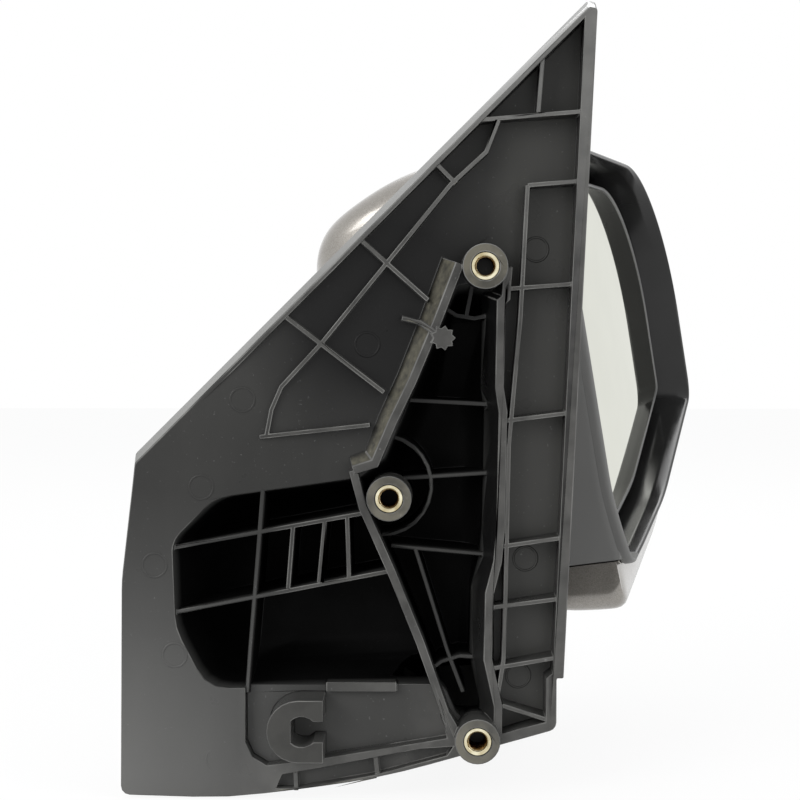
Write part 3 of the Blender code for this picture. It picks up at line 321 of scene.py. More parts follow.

# %% [markdown]
# ## Dust, painted sheen and painted shade zones
# The plate's own black carries most of the zones. Each zone adds its tint where it applies, one after the
# other, and the painted-shade zones darken what is there. Adding keeps the clouds below in sight, where a
# plain mix would cover them.

# %% Dust, painted sheen and painted shade zones
FLOOR_HEIGHT = (2 * MM, 1 * MM)
PROUD_HEIGHT = (1.0 * MM, 2.2 * MM)
DUST_HEIGHT = (0.3 * MM, 2.5 * MM)
PEAK_Z = (125 * MM, 180 * MM)
LOW_Z = (30 * MM, -50 * MM)
CORNER_Z = (50 * MM, -45 * MM)
CORNER_X = (75 * MM, -5 * MM)
REAR_X = (112 * MM, 120 * MM)
SHAFT_REAR_X = (104 * MM, 108 * MM)
SHAFT_FRONT_X = (108 * MM, 104 * MM)
SEAT_Y = (-6 * MM, -8 * MM)
BOSS_Y = (-2.0 * MM, -4.5 * MM)
BELOW_SEAT_Y = (-8 * MM, -6 * MM)
# Centre and reach of the painted shade on the plate's middle floor.
SHADE_CENTRE = (78 * MM, 0, 112 * MM)
SHADE_REACH = (52 * MM, 26 * MM)

# Spans of the normal's part across the door.
FACES_DOOR = (-0.5, -0.9)
NOT_FLAT = (-0.98, -0.93)
NOT_UPRIGHT = (-0.1, -0.25)

# Patches and dust: features per metre, and the span of the noise.
PATCH_SCALE = 110
PATCH_SPAN = (0.25, 0.6)
DUST_SCALE = 420
DUST_SPAN = (0.2, 0.65)

# Painted shade for the middle floor and the slopes at the shaft's rear.
SHADE = (0.2, 0.2, 0.21, 1)
SEAT_SHADE = (0.5, 0.5, 0.49, 1)
# Tints added per zone; the peak, corner, low and rear tints are painted sheen, lighter where the gloss
# would show the bright room.
DUST_AND_SHEEN_TINTS = {
    "proud": (0.036, 0.035, 0.033, 1),
    "boss": (0.048, 0.042, 0.024, 1),
    "peak": (0.06, 0.06, 0.058, 1),
    # Dust together with painted light on the lit slopes in front of the shaft.
    "dust_and_light": (0.08, 0.074, 0.052, 1),
    "corner": (0.062, 0.062, 0.061, 1),
    "low": (0.022, 0.022, 0.021, 1),
    "rear": (0.013, 0.013, 0.0115, 1),
}


def dust_and_painted_light_layers(tree, colour):
    """Dust and painted light on the base. What stands over the plate's floor and faces the door is lighter
    in patches, the bosses most. Dust lies on sloping walls in front of the shaft, together with painted
    light on that lit side. Painted sheen lightens the high proud faces, the lower corner, the bottom and
    the rear of the floor. Painted shade darkens the floor beside the strap and the slopes at the shaft's
    rear, and the clip seat is darker."""
    x, y, z, height = base_place(tree)
    normal = add_node(tree, "ShaderNodeNewGeometry").outputs["Normal"]
    across = add_node(tree, "ShaderNodeSeparateXYZ", {"Vector": normal}).outputs[1]
    facing = between(tree, across, FACES_DOOR)
    sloping = overlap(tree, between(tree, across, NOT_FLAT), between(tree, across, NOT_UPRIGHT))
    on_floor = between(tree, height, FLOOR_HEIGHT)
    patchy = between(tree, noise(tree, PATCH_SCALE, 5), PATCH_SPAN)
    dust = between(tree, noise(tree, DUST_SCALE, 6), DUST_SPAN)
    proud = overlap(tree, between(tree, height, PROUD_HEIGHT), facing)
    boss = overlap(tree, between(tree, y, BOSS_Y), between(tree, y, BELOW_SEAT_Y), facing)
    shaft_front = between(tree, x, SHAFT_FRONT_X)
    zones = {
        "proud": overlap(tree, proud, patchy),
        "boss": overlap(tree, boss, patchy),
        # Painted sheen on the high proud faces.
        "peak": overlap(tree, proud, between(tree, z, PEAK_Z)),
        # Dust together with painted light on the lit slopes in front of the shaft.
        "dust_and_light": overlap(tree, sloping, dust, between(tree, height, DUST_HEIGHT), shaft_front),
        # Painted sheen at the lower corner, along the bottom and at the rear of the floor.
        "corner": overlap(tree, between(tree, z, CORNER_Z), between(tree, x, CORNER_X)),
        "low": between(tree, z, LOW_Z),
        "rear": overlap(tree, between(tree, x, REAR_X), on_floor),
    }
    place = add_node(tree, "ShaderNodeCombineXYZ", {0: x, 2: z}).outputs[0]
    away = add_node(tree, "ShaderNodeVectorMath", {0: place, 1: SHADE_CENTRE}, operation="DISTANCE")
    shaded_floor = overlap(tree, between(tree, away.outputs["Value"], SHADE_REACH), on_floor)
    shaft_rear = overlap(tree, sloping, between(tree, x, SHAFT_REAR_X))
    # Painted shade on the middle floor and the slopes at the shaft's rear.
    for dark in (shaded_floor, shaft_rear):
        colour = mix_colours(tree, "MULTIPLY", dark, colour, SHADE)
    for zone, tint in DUST_AND_SHEEN_TINTS.items():
        colour = mix_colours(tree, "ADD", zones[zone], colour, tint)
    seat = overlap(tree, proud, between(tree, y, SEAT_Y))
    return mix_colours(tree, "MULTIPLY", seat, colour, SEAT_SHADE)


# The zones hold dust, painted sheen and painted shade.
print("zones of wear:", list(DUST_AND_SHEEN_TINTS))

# %% [markdown]
# ## Plastics
# Moulded plastic isn't one flat black: the tool leaves a faint grain, the melt flows in broad clouds, and
# handling leaves dust; on the base, painted sheen and painted shade are laid in as well. Each finish mixes
# such layers at their real scale, as noise on Object coordinates, because these pieces have no seams that a
# pattern would have to follow.

# %% Plastics
# Features per metre of the patterns that all moulded plastics share, and the height of their bumps.
SPECKS = 900
WIPES = 60
GRAIN = 1700
RIPPLES = 42
GRAIN_HEIGHT = 0.04 * MM
RIPPLE_HEIGHT = 0.3 * MM
FLOW_STRETCH = (1, 1, 0.5)
SMEAR_STRETCH = (1, 0.3, 1)


def moulded_plastic(name, dark, light, rough, dust=0.05, shine=0.5, size=26, layers=plain_layers):
    """Satin plastic: flow clouds in colour and gloss, tool grain and slow ripples as bump, and specks of
    dust. Size counts clouds per metre, and layers are laid over the colour."""
    made, tree = new_tree(name)
    clouds = ramp(tree, noise(tree, size, 5, FLOW_STRETCH), ((0.32, dark), (0.7, light)))
    specks = ramp(tree, noise(tree, SPECKS, 2), ((0.69, 0.0), (0.8, dust)))
    colour = layers(tree, mix_colours(tree, "ADD", 1.0, clouds, specks))
    gloss = ramp(tree, noise(tree, WIPES, 6), ((0.3, rough[0]), (0.75, rough[1])))
    grain = bump(tree, noise(tree, GRAIN, 3), GRAIN_HEIGHT, 0.3)
    ripple = bump(tree, noise(tree, RIPPLES, 2), RIPPLE_HEIGHT, 0.15, grain)
    inputs = {"Base Color": colour, "Roughness": gloss, "Normal": ripple, "Specular IOR Level": shine}
    return shaded(made, tree, inputs)


def gloss_plastic(name, tone):
    """Polished black plastic: wiped streaks in its gloss and the faintest waviness."""
    made, tree = new_tree(name)
    colour = ramp(tree, noise(tree, 30, 4), ((0.3, tone * 0.8), (0.7, tone * 1.3)))
    smear = ramp(tree, noise(tree, 70, 6, SMEAR_STRETCH), ((0.35, 0.12), (0.8, 0.26)))
    wave = bump(tree, noise(tree, 55, 1), 0.15 * MM, 0.1)
    inputs = {"Base Color": colour, "Roughness": smear, "Normal": wave, "Specular IOR Level": 0.35}
    return shaded(made, tree, inputs)


BASE_BLACK = moulded_plastic("base_black", (0.018, 0.018, 0.0172), (0.042, 0.0415, 0.0395), (0.26, 0.4),
                             dust=0.06, shine=0.2, size=12, layers=dust_and_painted_light_layers)
# Lighter bevelled edges: partly wear and partly a painted highlight.
BASE_WORN_HIGHLIT = moulded_plastic("base_worn_highlit_edge", (0.05, 0.05, 0.048), (0.17, 0.168, 0.16), (0.3, 0.45),
                            dust=0.02, shine=0.2, size=90, layers=worn_highlight_and_shade_layers)
# Near-black painted shade for the faces down in the hollows.
BASE_DEEP_SHADE = moulded_plastic("base_deep_shade", 0.0016, 0.004, (0.5, 0.65),
                            dust=0.01, shine=0.06, layers=deep_shade_layers)
# The slanting edge: smoother, and painted lighter as a painted reflection of the bright room.
BASE_PAINTED_SHEEN = moulded_plastic("base_painted_sheen", (0.19, 0.19, 0.184), (0.28, 0.28, 0.272), (0.1, 0.18))
PANEL_SATIN = moulded_plastic("panel_satin", (0.14, 0.14, 0.136), (0.16, 0.159, 0.154), (0.45, 0.58),
                              dust=0.01)
HEAD_BLACK = moulded_plastic("head_black", 0.016, 0.026, (0.4, 0.55), dust=0.02)
LIP_GREY = moulded_plastic("lip_grey", 0.10, (0.16, 0.16, 0.155), (0.3, 0.42), dust=0.02)
NYLON = moulded_plastic("bush_nylon", (0.50, 0.47, 0.40), (0.62, 0.59, 0.52), (0.4, 0.55), dust=0.02)
BEZEL_BLACK = gloss_plastic("bezel_black", 0.014)
print("head plastics:", [look.name for look in (PANEL_SATIN, HEAD_BLACK, LIP_GREY, BEZEL_BLACK)])

# %% [markdown]
# ## Paint, metal, glass and foam
# The cover has metallic paint, the inserts are turned brass, the screws are zinc plated, and the glass is
# silvered. Each finish gets the one thing that tells it apart: flakes under a clear coat, lathe lines, a
# film of dust on a mirror, or cells. A plain grey metal would make them all look alike.

# %% Paint, metal, glass and foam
FLAKES = 4200
CELLS = 1500
LATHE_STRETCH = (0.2, 1, 0.2)
INSERT_FACE = -4.85 * MM
# Painted shade that browns and darkens the brass down in the bore.
BORE_SHADE = (0.24, 0.15, 0.07, 1)
BORE_DEPTH = (INSERT_FACE + 0.2 * MM, INSERT_FACE + 1.6 * MM)


def silver_paint(name):
    """Metallic paint: tiny flakes tilt the base, and a clear coat with a slow orange peel lies over it."""
    made, tree = new_tree(name)
    place = add_node(tree, "ShaderNodeTexCoord").outputs["Object"]
    flakes = add_node(tree, "ShaderNodeTexVoronoi", {"Vector": place, "Scale": FLAKES}).outputs["Color"]
    grey = add_node(tree, "ShaderNodeSeparateColor", {"Color": flakes}).outputs[0]
    sparkle = ramp(tree, grey, ((0.0, (0.25, 0.232, 0.208)), (1.0, (0.36, 0.34, 0.31))))
    clouds = ramp(tree, noise(tree, 14, 3), ((0.3, 0.85), (0.75, 1.0)))
    colour = mix_colours(tree, "MULTIPLY", 1.0, sparkle, clouds)
    tilt = bump(tree, grey, 0.01 * MM, 0.2)
    peel = bump(tree, noise(tree, 420, 1), 0.02 * MM, 0.25)
    rough = ramp(tree, noise(tree, 80, 4), ((0.3, 0.3), (0.7, 0.4)))
    inputs = {"Base Color": colour, "Metallic": 0.75, "Roughness": rough, "Normal": tilt,
              "Coat Weight": 1.0, "Coat Roughness": 0.05, "Coat Normal": peel}
    return shaded(made, tree, inputs)


def dark_bore(tree, colour):
    """Painted shade: below its face, down in the bore, the brass is painted browner and then dark."""
    place = add_node(tree, "ShaderNodeTexCoord").outputs["Object"]
    depth = add_node(tree, "ShaderNodeSeparateXYZ", {"Vector": place}).outputs[1]
    return mix_colours(tree, "MULTIPLY", between(tree, depth, BORE_DEPTH), colour, BORE_SHADE)


def bare_metal(name, dark, light, rough, turns, layers=plain_layers):
    """Turned or plated metal: tarnish clouds, and fine lathe lines round the axis as bump."""
    made, tree = new_tree(name)
    colour = layers(tree, ramp(tree, noise(tree, 260, 4), ((0.3, dark), (0.7, light))))
    gloss = ramp(tree, noise(tree, 500, 5), ((0.3, rough[0]), (0.75, rough[1])))
    lines = bump(tree, noise(tree, turns, 2, LATHE_STRETCH), 0.02 * MM, 0.3)
    inputs = {"Base Color": colour, "Metallic": 1.0, "Roughness": gloss, "Normal": lines}
    return shaded(made, tree, inputs)


def silvered_glass(name):
    """Mirror: a faint green-grey tint, near-perfect gloss and a film of dust that dulls it in patches."""
    made, tree = new_tree(name)
    tint = ramp(tree, noise(tree, 20, 3), ((0.3, (0.60, 0.61, 0.53)), (0.7, (0.66, 0.67, 0.585))))
    film = ramp(tree, noise(tree, 120, 6), ((0.45, 0.012), (0.8, 0.05)))
    return shaded(made, tree, {"Base Color": tint, "Metallic": 1.0, "Roughness": film})


def foam_tape(name):
    """Closed-cell foam: dark cells as colour and bump."""
    made, tree = new_tree(name)
    place = add_node(tree, "ShaderNodeTexCoord").outputs["Object"]
    cells = add_node(tree, "ShaderNodeTexVoronoi", {"Vector": place, "Scale": CELLS}).outputs["Distance"]
    colour = ramp(tree, cells, ((0.0, 0.05), (0.8, 0.12)))
    pores = bump(tree, cells, 0.1 * MM, 0.6)
    return shaded(made, tree, {"Base Color": colour, "Roughness": 0.9, "Normal": pores})


SILVER = silver_paint("silver_paint")
BRASS = bare_metal("insert_brass", (0.50, 0.42, 0.24), (0.90, 0.85, 0.64), (0.18, 0.32), 1400, dark_bore)
ZINC = bare_metal("zinc_steel", (0.42, 0.42, 0.41), (0.62, 0.62, 0.60), (0.28, 0.45), 900)
MIRROR = silvered_glass("silvered_glass")
FOAM = foam_tape("foam_tape")
print("other finishes:", [look.name for look in (SILVER, BRASS, ZINC, MIRROR, FOAM)])

# %% [markdown]
# ## Finishes of the CAD pieces
# The pivot, the screws and the frame inside the head stay as the frame made them and only need a finish. A
# table names the pieces that aren't metal. Of the rest, the inserts are brass and all others zinc plated.

# %% Finishes of the CAD pieces
CAD_LOOKS = {
    "base_bracket": BASE_BLACK,
    "pivot_shroud": HEAD_BLACK,
    "head_frame": HEAD_BLACK,
    "glass_holder": HEAD_BLACK,
    "rear_bezel": BEZEL_BLACK,
    "front_cover": SILVER,
    "pivot_bush": NYLON,
    "swivel_cross": NYLON,
    "mirror_glass": MIRROR,
    "adhesive_pad": FOAM,
}
for node_name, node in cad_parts.items():
    node.data.materials.clear()
    node.data.materials.append(CAD_LOOKS.get(node_name, BRASS if "insert" in node_name else ZINC))
print("finishes:", sorted({node.data.materials[0].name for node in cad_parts.values()}))

# %% [markdown]
# ## Surfaces from arrays
# Every new piece is a grid of points: one parameter runs along a profile, the other round an outline.
# Whole arrays are worked out at once, and the quads between neighbouring points follow from their index
# numbers. Modelling by hand would be slower, and couldn't follow a changed size.

# %% Grid helpers
SMOOTH_ANGLE = 40
GRID_MERGE = 0.002 * MM


def smoothed(mesh, angle):
    """Smooth shading, with edges sharper than an angle in degrees kept crisp."""
    mesh.shade_smooth()
    mesh.set_sharp_from_angle(angle=math.radians(angle))


def grid_piece(name, grid, look, closed=False, angle=SMOOTH_ANGLE):
    """Piece from a (rows, columns, 3) grid: quads join each point to its neighbours, and the columns close
    on themselves. The rows do too if closed. Rows that shrink to a point are merged into a pole."""
    rows, columns = grid.shape[:2]
    index = np.arange(rows * columns).reshape(rows, columns)
    index = np.hstack([index, index[:, :1]])
    if closed:
        index = np.vstack([index, index[:1]])
    corners = [index[:-1, :-1], index[:-1, 1:], index[1:, 1:], index[1:, :-1]]
    quads = np.stack(corners, axis=-1).reshape(-1, 4)
    mesh = bpy.data.meshes.new(name)
    mesh.from_pydata(grid.reshape(-1, 3).tolist(), [], quads.tolist())
    sheet = bmesh.new()
    sheet.from_mesh(mesh)
    bmesh.ops.remove_doubles(sheet, verts=sheet.verts, dist=GRID_MERGE)
    bmesh.ops.recalc_face_normals(sheet, faces=sheet.faces)
    sheet.to_mesh(mesh)
    sheet.free()
    mesh.materials.append(look)
    smoothed(mesh, angle)
    return linked(name, mesh)


def carve(piece, cutter, operation):
    """Apply a Boolean with a cutter, then remove the cutter."""
    step = piece.modifiers.new("carve", "BOOLEAN")
    step.operation = operation
    step.object = cutter
    step.solver = "EXACT"
    graph = bpy.context.evaluated_depsgraph_get()
    carved = bpy.data.meshes.new_from_object(piece.evaluated_get(graph))
    piece.modifiers.clear()
    piece.data = carved
    bpy.data.objects.remove(cutter, do_unlink=True)
    smoothed(carved, SMOOTH_ANGLE)
    return piece


def face_arrays(mesh):
    """Middle and normal of each face, as two arrays of rows of three."""
    middle = np.empty(len(mesh.polygons) * 3)
    normal = np.empty(len(mesh.polygons) * 3)
    mesh.polygons.foreach_get("center", middle)
    mesh.polygons.foreach_get("normal", normal)
    return middle.reshape(-1, 3), normal.reshape(-1, 3)


def dress(piece, body, slot, *nodes):
    """The piece moves with a body and stands for CAD nodes, which it hides. The slot is not used."""
    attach(piece, body)
    if nodes:
        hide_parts(*nodes)
    print(piece.name, "faces:", len(piece.data.polygons), "rides on", body)


# %% [markdown]
# ## The moulded base
# The base is one moulding: a triangular sail with a rim, ribs, three bosses and a hollow arm. Its shape is
# right in the frame, but a frame node is loose triangles with knife-sharp edges. A merged copy with a
# small bevel catches light along its edges as a moulded part does, and the bevel gets a lighter finish,
# partly wear and partly a painted highlight.

# %% Base copy with rounded edges
BASE_EDGE = 0.3 * MM
BASE_MERGE = 0.001 * MM
BEVEL_ANGLE = 38
BEVEL_SEGMENTS = 2
FLAT_WEIGHT = 80
DEEP_SHADE_SLOT = 1
SHEEN_SLOT = 2
WORN_HIGHLIT_SLOT = 3


def rounded_copy(node_name, name, look, edge):
    """Merged copy of a frame node, with each edge that is sharper than an angle bevelled."""
    sheet = bmesh.new()
    sheet.from_mesh(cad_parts[node_name].data)
    bmesh.ops.remove_doubles(sheet, verts=sheet.verts, dist=BASE_MERGE)
    mesh = bpy.data.meshes.new(name)
    sheet.to_mesh(mesh)
    sheet.free()
    mesh.materials.clear()
    mesh.materials.append(look)
    smoothed(mesh, BEVEL_ANGLE)
    made = linked(name, mesh)
    bevel = made.modifiers.new("edge", "BEVEL")
    bevel.width = edge
    bevel.segments = BEVEL_SEGMENTS
    bevel.limit_method = "ANGLE"
    bevel.angle_limit = math.radians(BEVEL_ANGLE)
    bevel.use_clamp_overlap = False
    bevel.material = WORN_HIGHLIT_SLOT
    weighted = made.modifiers.new("flat_faces", "WEIGHTED_NORMAL")
    weighted.mode = "FACE_AREA_WITH_ANGLE"
    weighted.weight = FLAT_WEIGHT
    return made


base = rounded_copy("base_bracket", "moulded_base", BASE_BLACK, BASE_EDGE)
print("base faces before its bevel:", len(base.data.polygons))

# %% [markdown]
# ## Finishes of the base, face by face
# Light hardly reaches the hollows, so their faces get a painted shade. The long slanting edge is smoother
# than the plate, and painted lighter as a painted reflection of the bright room. A face's place and the way
# it faces say which finish it gets, so nobody has to pick faces by hand.

# %% Faces with painted shade and with painted sheen
EDGE_START = np.array([-5.0, 61.7]) * MM
EDGE_END = np.array([146.7, 211.7]) * MM
EDGE_BAND = 1.9 * MM
DEEP_FLOOR = 2.5 * MM
DEEP_WALL = 0.4 * MM
HOLLOWS = np.array([((8.0, -17.0), (82.0, 51.0)), ((76.0, -20.0), (118.5, 118.0))]) * MM
HOLLOW_WALL = 8 * MM
FLOOR_FACING = -0.6
BACK_FACING = 0.3
RAY_LIFT = 0.3 * MM
NEAR_CORNER = 0.85
TO_DOOR = (0, -1, 0)


def seen_from_door(mesh, faces):
    """True for a face if a ray towards the door, from over its middle or from near one of its corners,
    meets nothing."""
    points = [vertex.co for vertex in mesh.vertices]
    tree = BVHTree.FromPolygons(points, [face.vertices for face in mesh.polygons])
    seen = np.zeros(len(mesh.polygons), dtype=bool)
    for index in np.flatnonzero(faces):
        face = mesh.polygons[index]
        starts = [face.center]
        starts += [face.center.lerp(points[vertex], NEAR_CORNER) for vertex in face.vertices]
        lift = face.normal * RAY_LIFT
        seen[index] = any(tree.ray_cast(start + lift, TO_DOOR)[0] is None for start in starts)
    return seen


def split_finishes(mesh, *looks):
    """Finish of each face: painted shade deep inside the hollows, where a face lies deeper than the plate's
    floor, and painted sheen on the slanting outer edge, where the distance from its line is next to
    nothing.
    The hollows are boxes in plan, and a wall round a box counts if its normal points to the middle. The
    first look stays on all others."""
    middle, normal = face_arrays(mesh)
    plan = middle[:, [0, 2]]
    across = normal[:, 1]
    along = (EDGE_END - EDGE_START) / np.linalg.norm(EDGE_END - EDGE_START)
    outside = (plan - EDGE_START) @ np.array([-along[1], along[0]])
    edge = (outside > -EDGE_BAND) & (across < BACK_FACING)
    depth = middle[:, 1] - np.maximum(0, WEB_SLOPE * (middle[:, 0] - BEND_LINE))
    below = depth > np.where(across < FLOOR_FACING, DEEP_FLOOR, DEEP_WALL)
    low, high = HOLLOWS[:, None, 0], HOLLOWS[:, None, 1]
    inside = np.all((plan > low) & (plan < high), axis=2)
    around = np.all((plan > low - HOLLOW_WALL) & (plan < high + HOLLOW_WALL), axis=2)
    inward = np.sum(((low + high) / 2 - plan) * normal[:, [0, 2]], axis=2) > 0
    deep = below & np.any(inside | (around & inward), axis=0) & (across < BACK_FACING)
    deep &= seen_from_door(mesh, deep)
    slots = np.where(edge, SHEEN_SLOT, np.where(deep, DEEP_SHADE_SLOT, 0))
    mesh.polygons.foreach_set("material_index", slots.astype(np.int32))
    for look in looks:
        mesh.materials.append(look)
    print("deep faces:", int(deep.sum()), "edge faces:", int(edge.sum()), "of", len(middle))


split_finishes(base.data, BASE_DEEP_SHADE, BASE_PAINTED_SHEEN, BASE_WORN_HIGHLIT)
dress(base, "base", "black_plastic", "base_bracket")

# %% [markdown]
# ## Ejector-pin marks
# Pins push the moulding out of its tool and leave faint rings on the plate. Each is a ring with a flat
# oval section, half sunk in the plate, and all nine come from one array of centres.

# %% Pin marks
PIN_PLACES = np.array([(72.3, 98.3), (31, 80), (17.3, 51), (1.7, 25), (8.3, -5), (22.7, -40),
                       (128.7, 130), (125.3, 26.3), (123, -13.3)]) * MM
PIN_RADIUS = 4.0 * MM
PIN_HALF_WIDTH = 0.4 * MM
PIN_HEIGHT = 0.22 * MM
PIN_ROWS = 10
PIN_COLUMNS = 56


def full_turn(count):
    """Even angles round a full turn."""
    return np.linspace(0, 2 * np.pi, count, endpoint=False)


def pin_rings(places):
    """Rings of oval section: distance from the centre is the pin radius plus a cosine of the section angle,
    and the ring rises off the plate by its sine. The plate's floor is the slope times the distance past its
    bend line."""
    section = full_turn(PIN_ROWS)[None, :, None]
    around = full_turn(PIN_COLUMNS)[None, None, :]
    reach = PIN_RADIUS + PIN_HALF_WIDTH * np.cos(section)
    x = places[:, 0, None, None] + reach * np.cos(around)
    z = places[:, 1, None, None] + reach * np.sin(around)
    y = np.maximum(0, WEB_SLOPE * (x - BEND_LINE)) - PIN_HEIGHT * np.sin(section)
    return np.stack([x, y, z], axis=-1)


def join_pieces(pieces, name):
    """One object from several with the same finish, by putting their meshes together."""
    sheet = bmesh.new()
    look = pieces[0].data.materials[0]
    for piece in pieces:
        sheet.from_mesh(piece.data)
        bpy.data.objects.remove(piece, do_unlink=True)
    mesh = bpy.data.meshes.new(name)
    sheet.to_mesh(mesh)
    sheet.free()
    mesh.materials.clear()
    mesh.materials.append(look)
    return linked(name, mesh)


rings = [grid_piece("pin_ring", grid, BASE_BLACK, closed=True) for grid in pin_rings(PIN_PLACES)]
dress(join_pieces(rings, "pin_marks"), "base", "black_plastic")

# %% [markdown]
# ## Threaded brass inserts
# A bolt bites into a real thread, which shows as bright lines inside the bore. The bore's radius is a
# function of height and angle: it rises and falls once per pitch, and a full turn shifts it by one pitch,
# which makes it a helix. A stack of plain rings would be easier, but it wouldn't climb.

# %% Brass inserts
BOSS_PLACES = {"top": (111.3, 124), "middle": (79.7, 47.7), "bottom": (109, -32.7)}
INSERT_RADIUS = 4.58 * MM
INSERT_END = 8.15 * MM
INSERT_EDGE = 0.15 * MM
INSERT_COLUMNS = 72
INSERT_ANGLE = 25
THREAD_ROOT = 3.3 * MM
THREAD_DEPTH = 0.4 * MM
THREAD_PITCH = 1.0 * MM
THREAD_ROWS = 170
THREAD_STEEP = 1.5
THREAD_FLAT = 0.25
MOUTH_CHAMFER = 0.3 * MM


def insert_grid(x, z):
    """Closed ring section: outer wall, face and chamfer as given points, then the bore, whose radius is the
    root less the depth times a flattened triangle wave of height over pitch plus angle over a full turn.
    The thread fades out over one pitch at both ends."""
    around = full_turn(INSERT_COLUMNS)
    shell = np.array([(INSERT_RADIUS, INSERT_END), (INSERT_RADIUS, INSERT_FACE + INSERT_EDGE),
                      (INSERT_RADIUS - INSERT_EDGE, INSERT_FACE),
                      (THREAD_ROOT + MOUTH_CHAMFER, INSERT_FACE)])
    depth = np.linspace(INSERT_FACE + MOUTH_CHAMFER, INSERT_END, THREAD_ROWS)
    phase = depth[:, None] / THREAD_PITCH + around[None, :] / (2 * np.pi)
    wave = np.clip(THREAD_STEEP * np.abs(2 * (phase % 1.0) - 1) - THREAD_FLAT, 0, 1)
    fade = np.clip(np.minimum(depth - depth[0], depth[-1] - depth) / THREAD_PITCH, 0, 1)
    bore = THREAD_ROOT - THREAD_DEPTH * wave * fade[:, None]
    radius = np.vstack([np.repeat(shell[:, :1], INSERT_COLUMNS, axis=1), bore])
    height = np.concatenate([shell[:, 1], depth])[:, None] + np.zeros_like(around)
    return np.stack([x + radius * np.cos(around), height, z + radius * np.sin(around)], axis=-1)


for place_name, (x, z) in BOSS_PLACES.items():
    grid = insert_grid(x * MM, z * MM)
    insert = grid_piece(f"threaded_insert_{place_name}", grid, BRASS, closed=True, angle=INSERT_ANGLE)
    dress(insert, "base", "brass", f"brass_insert_{place_name}")

# %% [markdown]
# ## The head: one outline, many surfaces
# The opening of the head is five rounded corners. Bezel, glass, holder and cover all follow it, each drawn
# in by its own inset, so one function of the inset gives them matching columns of points, in the head's
# own axes: outboard, up and out of the opening.

# %% Rim outline
RIM_YAW = math.radians(18.7)
RIM_LEAN = math.radians(9.0)
RIM_CENTRE = np.array([179.0, 143.0, 103.0]) * MM
OUTBOARD = np.array([math.sin(RIM_YAW), math.cos(RIM_YAW), 0.0])
REARWARD = np.array([math.cos(RIM_YAW), -math.sin(RIM_YAW), 0.0])
OUT = math.cos(RIM_LEAN) * REARWARD + np.array([0.0, 0.0, math.sin(RIM_LEAN)])
UP = np.cross(OUT, OUTBOARD)

# Each corner has its place outboard and up, and the radius of its arc.
RIM_CORNERS = np.array([(-74, -89.5, 7), (0, -69, 160), (87, -30, 14), (87, 71, 64), (-80.5, 71, 16)]) * MM
RIM_OUTBOARD = RIM_CORNERS[:, 0].max()
LEAST_RADIUS = 2 * MM
ARC_POINTS = 30
EDGE_POINTS = 24


def rim_outline(inset):
    """Outline drawn in by an inset: an arc's centre lies the inset plus its radius inside both edges of a
    corner, and its points turn from one edge's normal to the next one's. Even points fill the straight
    edges between arcs."""
    corner = RIM_CORNERS[:, :2]
    radius = np.maximum(RIM_CORNERS[:, 2] - inset, LEAST_RADIUS)
    along = np.roll(corner, -1, axis=0) - corner
    along /= np.linalg.norm(along, axis=1, keepdims=True)
    after = np.stack([-along[:, 1], along[:, 0]], axis=1)
    before = np.roll(after, 1, axis=0)
    cosine = np.sum(before * after, axis=1, keepdims=True)
    centre = corner + (inset + radius)[:, None] * (before + after) / (1 + cosine)
    start = np.arctan2(-before[:, 1], -before[:, 0])
    turn = start[:, None] + np.arccos(cosine) * np.linspace(0, 1, ARC_POINTS)
    arcs = centre[:, None] + radius[:, None, None] * np.stack([np.cos(turn), np.sin(turn)], axis=-1)
    share = np.linspace(0, 1, EDGE_POINTS + 2)[1:-1, None]
    edges = arcs[:, -1:] + share * (np.roll(arcs[:, :1], -1, axis=0) - arcs[:, -1:])
    return np.concatenate([arcs, edges], axis=1).reshape(-1, 2)


def drawn_outline(inset, outboard):
    """Outline drawn in by one inset, and by another at the outboard edge: the outboard half is squeezed so
    that its far edge lands on that second inset."""
    outline = rim_outline(inset)
    squeeze = (RIM_OUTBOARD - outboard) / (RIM_OUTBOARD - inset)
    outline[:, 0] *= np.where(outline[:, 0] > 0, squeeze, 1.0)
    return outline


print("rim outline points:", len(rim_outline(0.0)))

# %% [markdown]
# ## From the head's axes to the frame
# The rim isn't quite flat: on its inboard side, next to the base, it dips towards the front. One function
# puts every point of the shell in place and adds that dip, so the pieces stay together.

# %% Places on the head
INBOARD_DIP = 3.9 * MM
DIP_OUTBOARD = (-50 * MM, -76 * MM)
DIP_UP = (-95 * MM, -55 * MM)
DIP_OUT = (-30 * MM, 0.0)
CURVE_POINTS = 5
SPAN_SHARE = 0.45


def smooth_step(value, span):
    """Zero before the span's start, one past its end, and a smooth S between them."""
    share = np.clip((value - span[0]) / (span[1] - span[0]), 0, 1)
    return share ** 2 * (3 - 2 * share)


def in_head(a, b, c):
    """Place in the frame of a point in the head's axes."""
    return RIM_CENTRE + a[..., None] * OUTBOARD + b[..., None] * UP + c[..., None] * OUT


def dipped(a, b, c):
    """Place in the frame of a point on the shell. The rim dips on its inboard side: it moves forward by the
    dip times three smooth steps, over the way inboard, the height and the depth."""
    share = smooth_step(a, DIP_OUTBOARD) * smooth_step(b, DIP_UP) * smooth_step(c, DIP_OUT)
    return in_head(a, b, c - INBOARD_DIP * share)


def rim_rows(profile):
    """Rows that follow the rim: each profile point gives an inset, a depth behind the rim and the outboard
    inset."""
    outlines = np.stack([drawn_outline(inset, outboard) for inset, _, outboard in profile])
    depth = np.array([point[1] for point in profile])[:, None] + np.zeros(outlines.shape[1])
    return dipped(outlines[..., 0], outlines[..., 1], -depth)


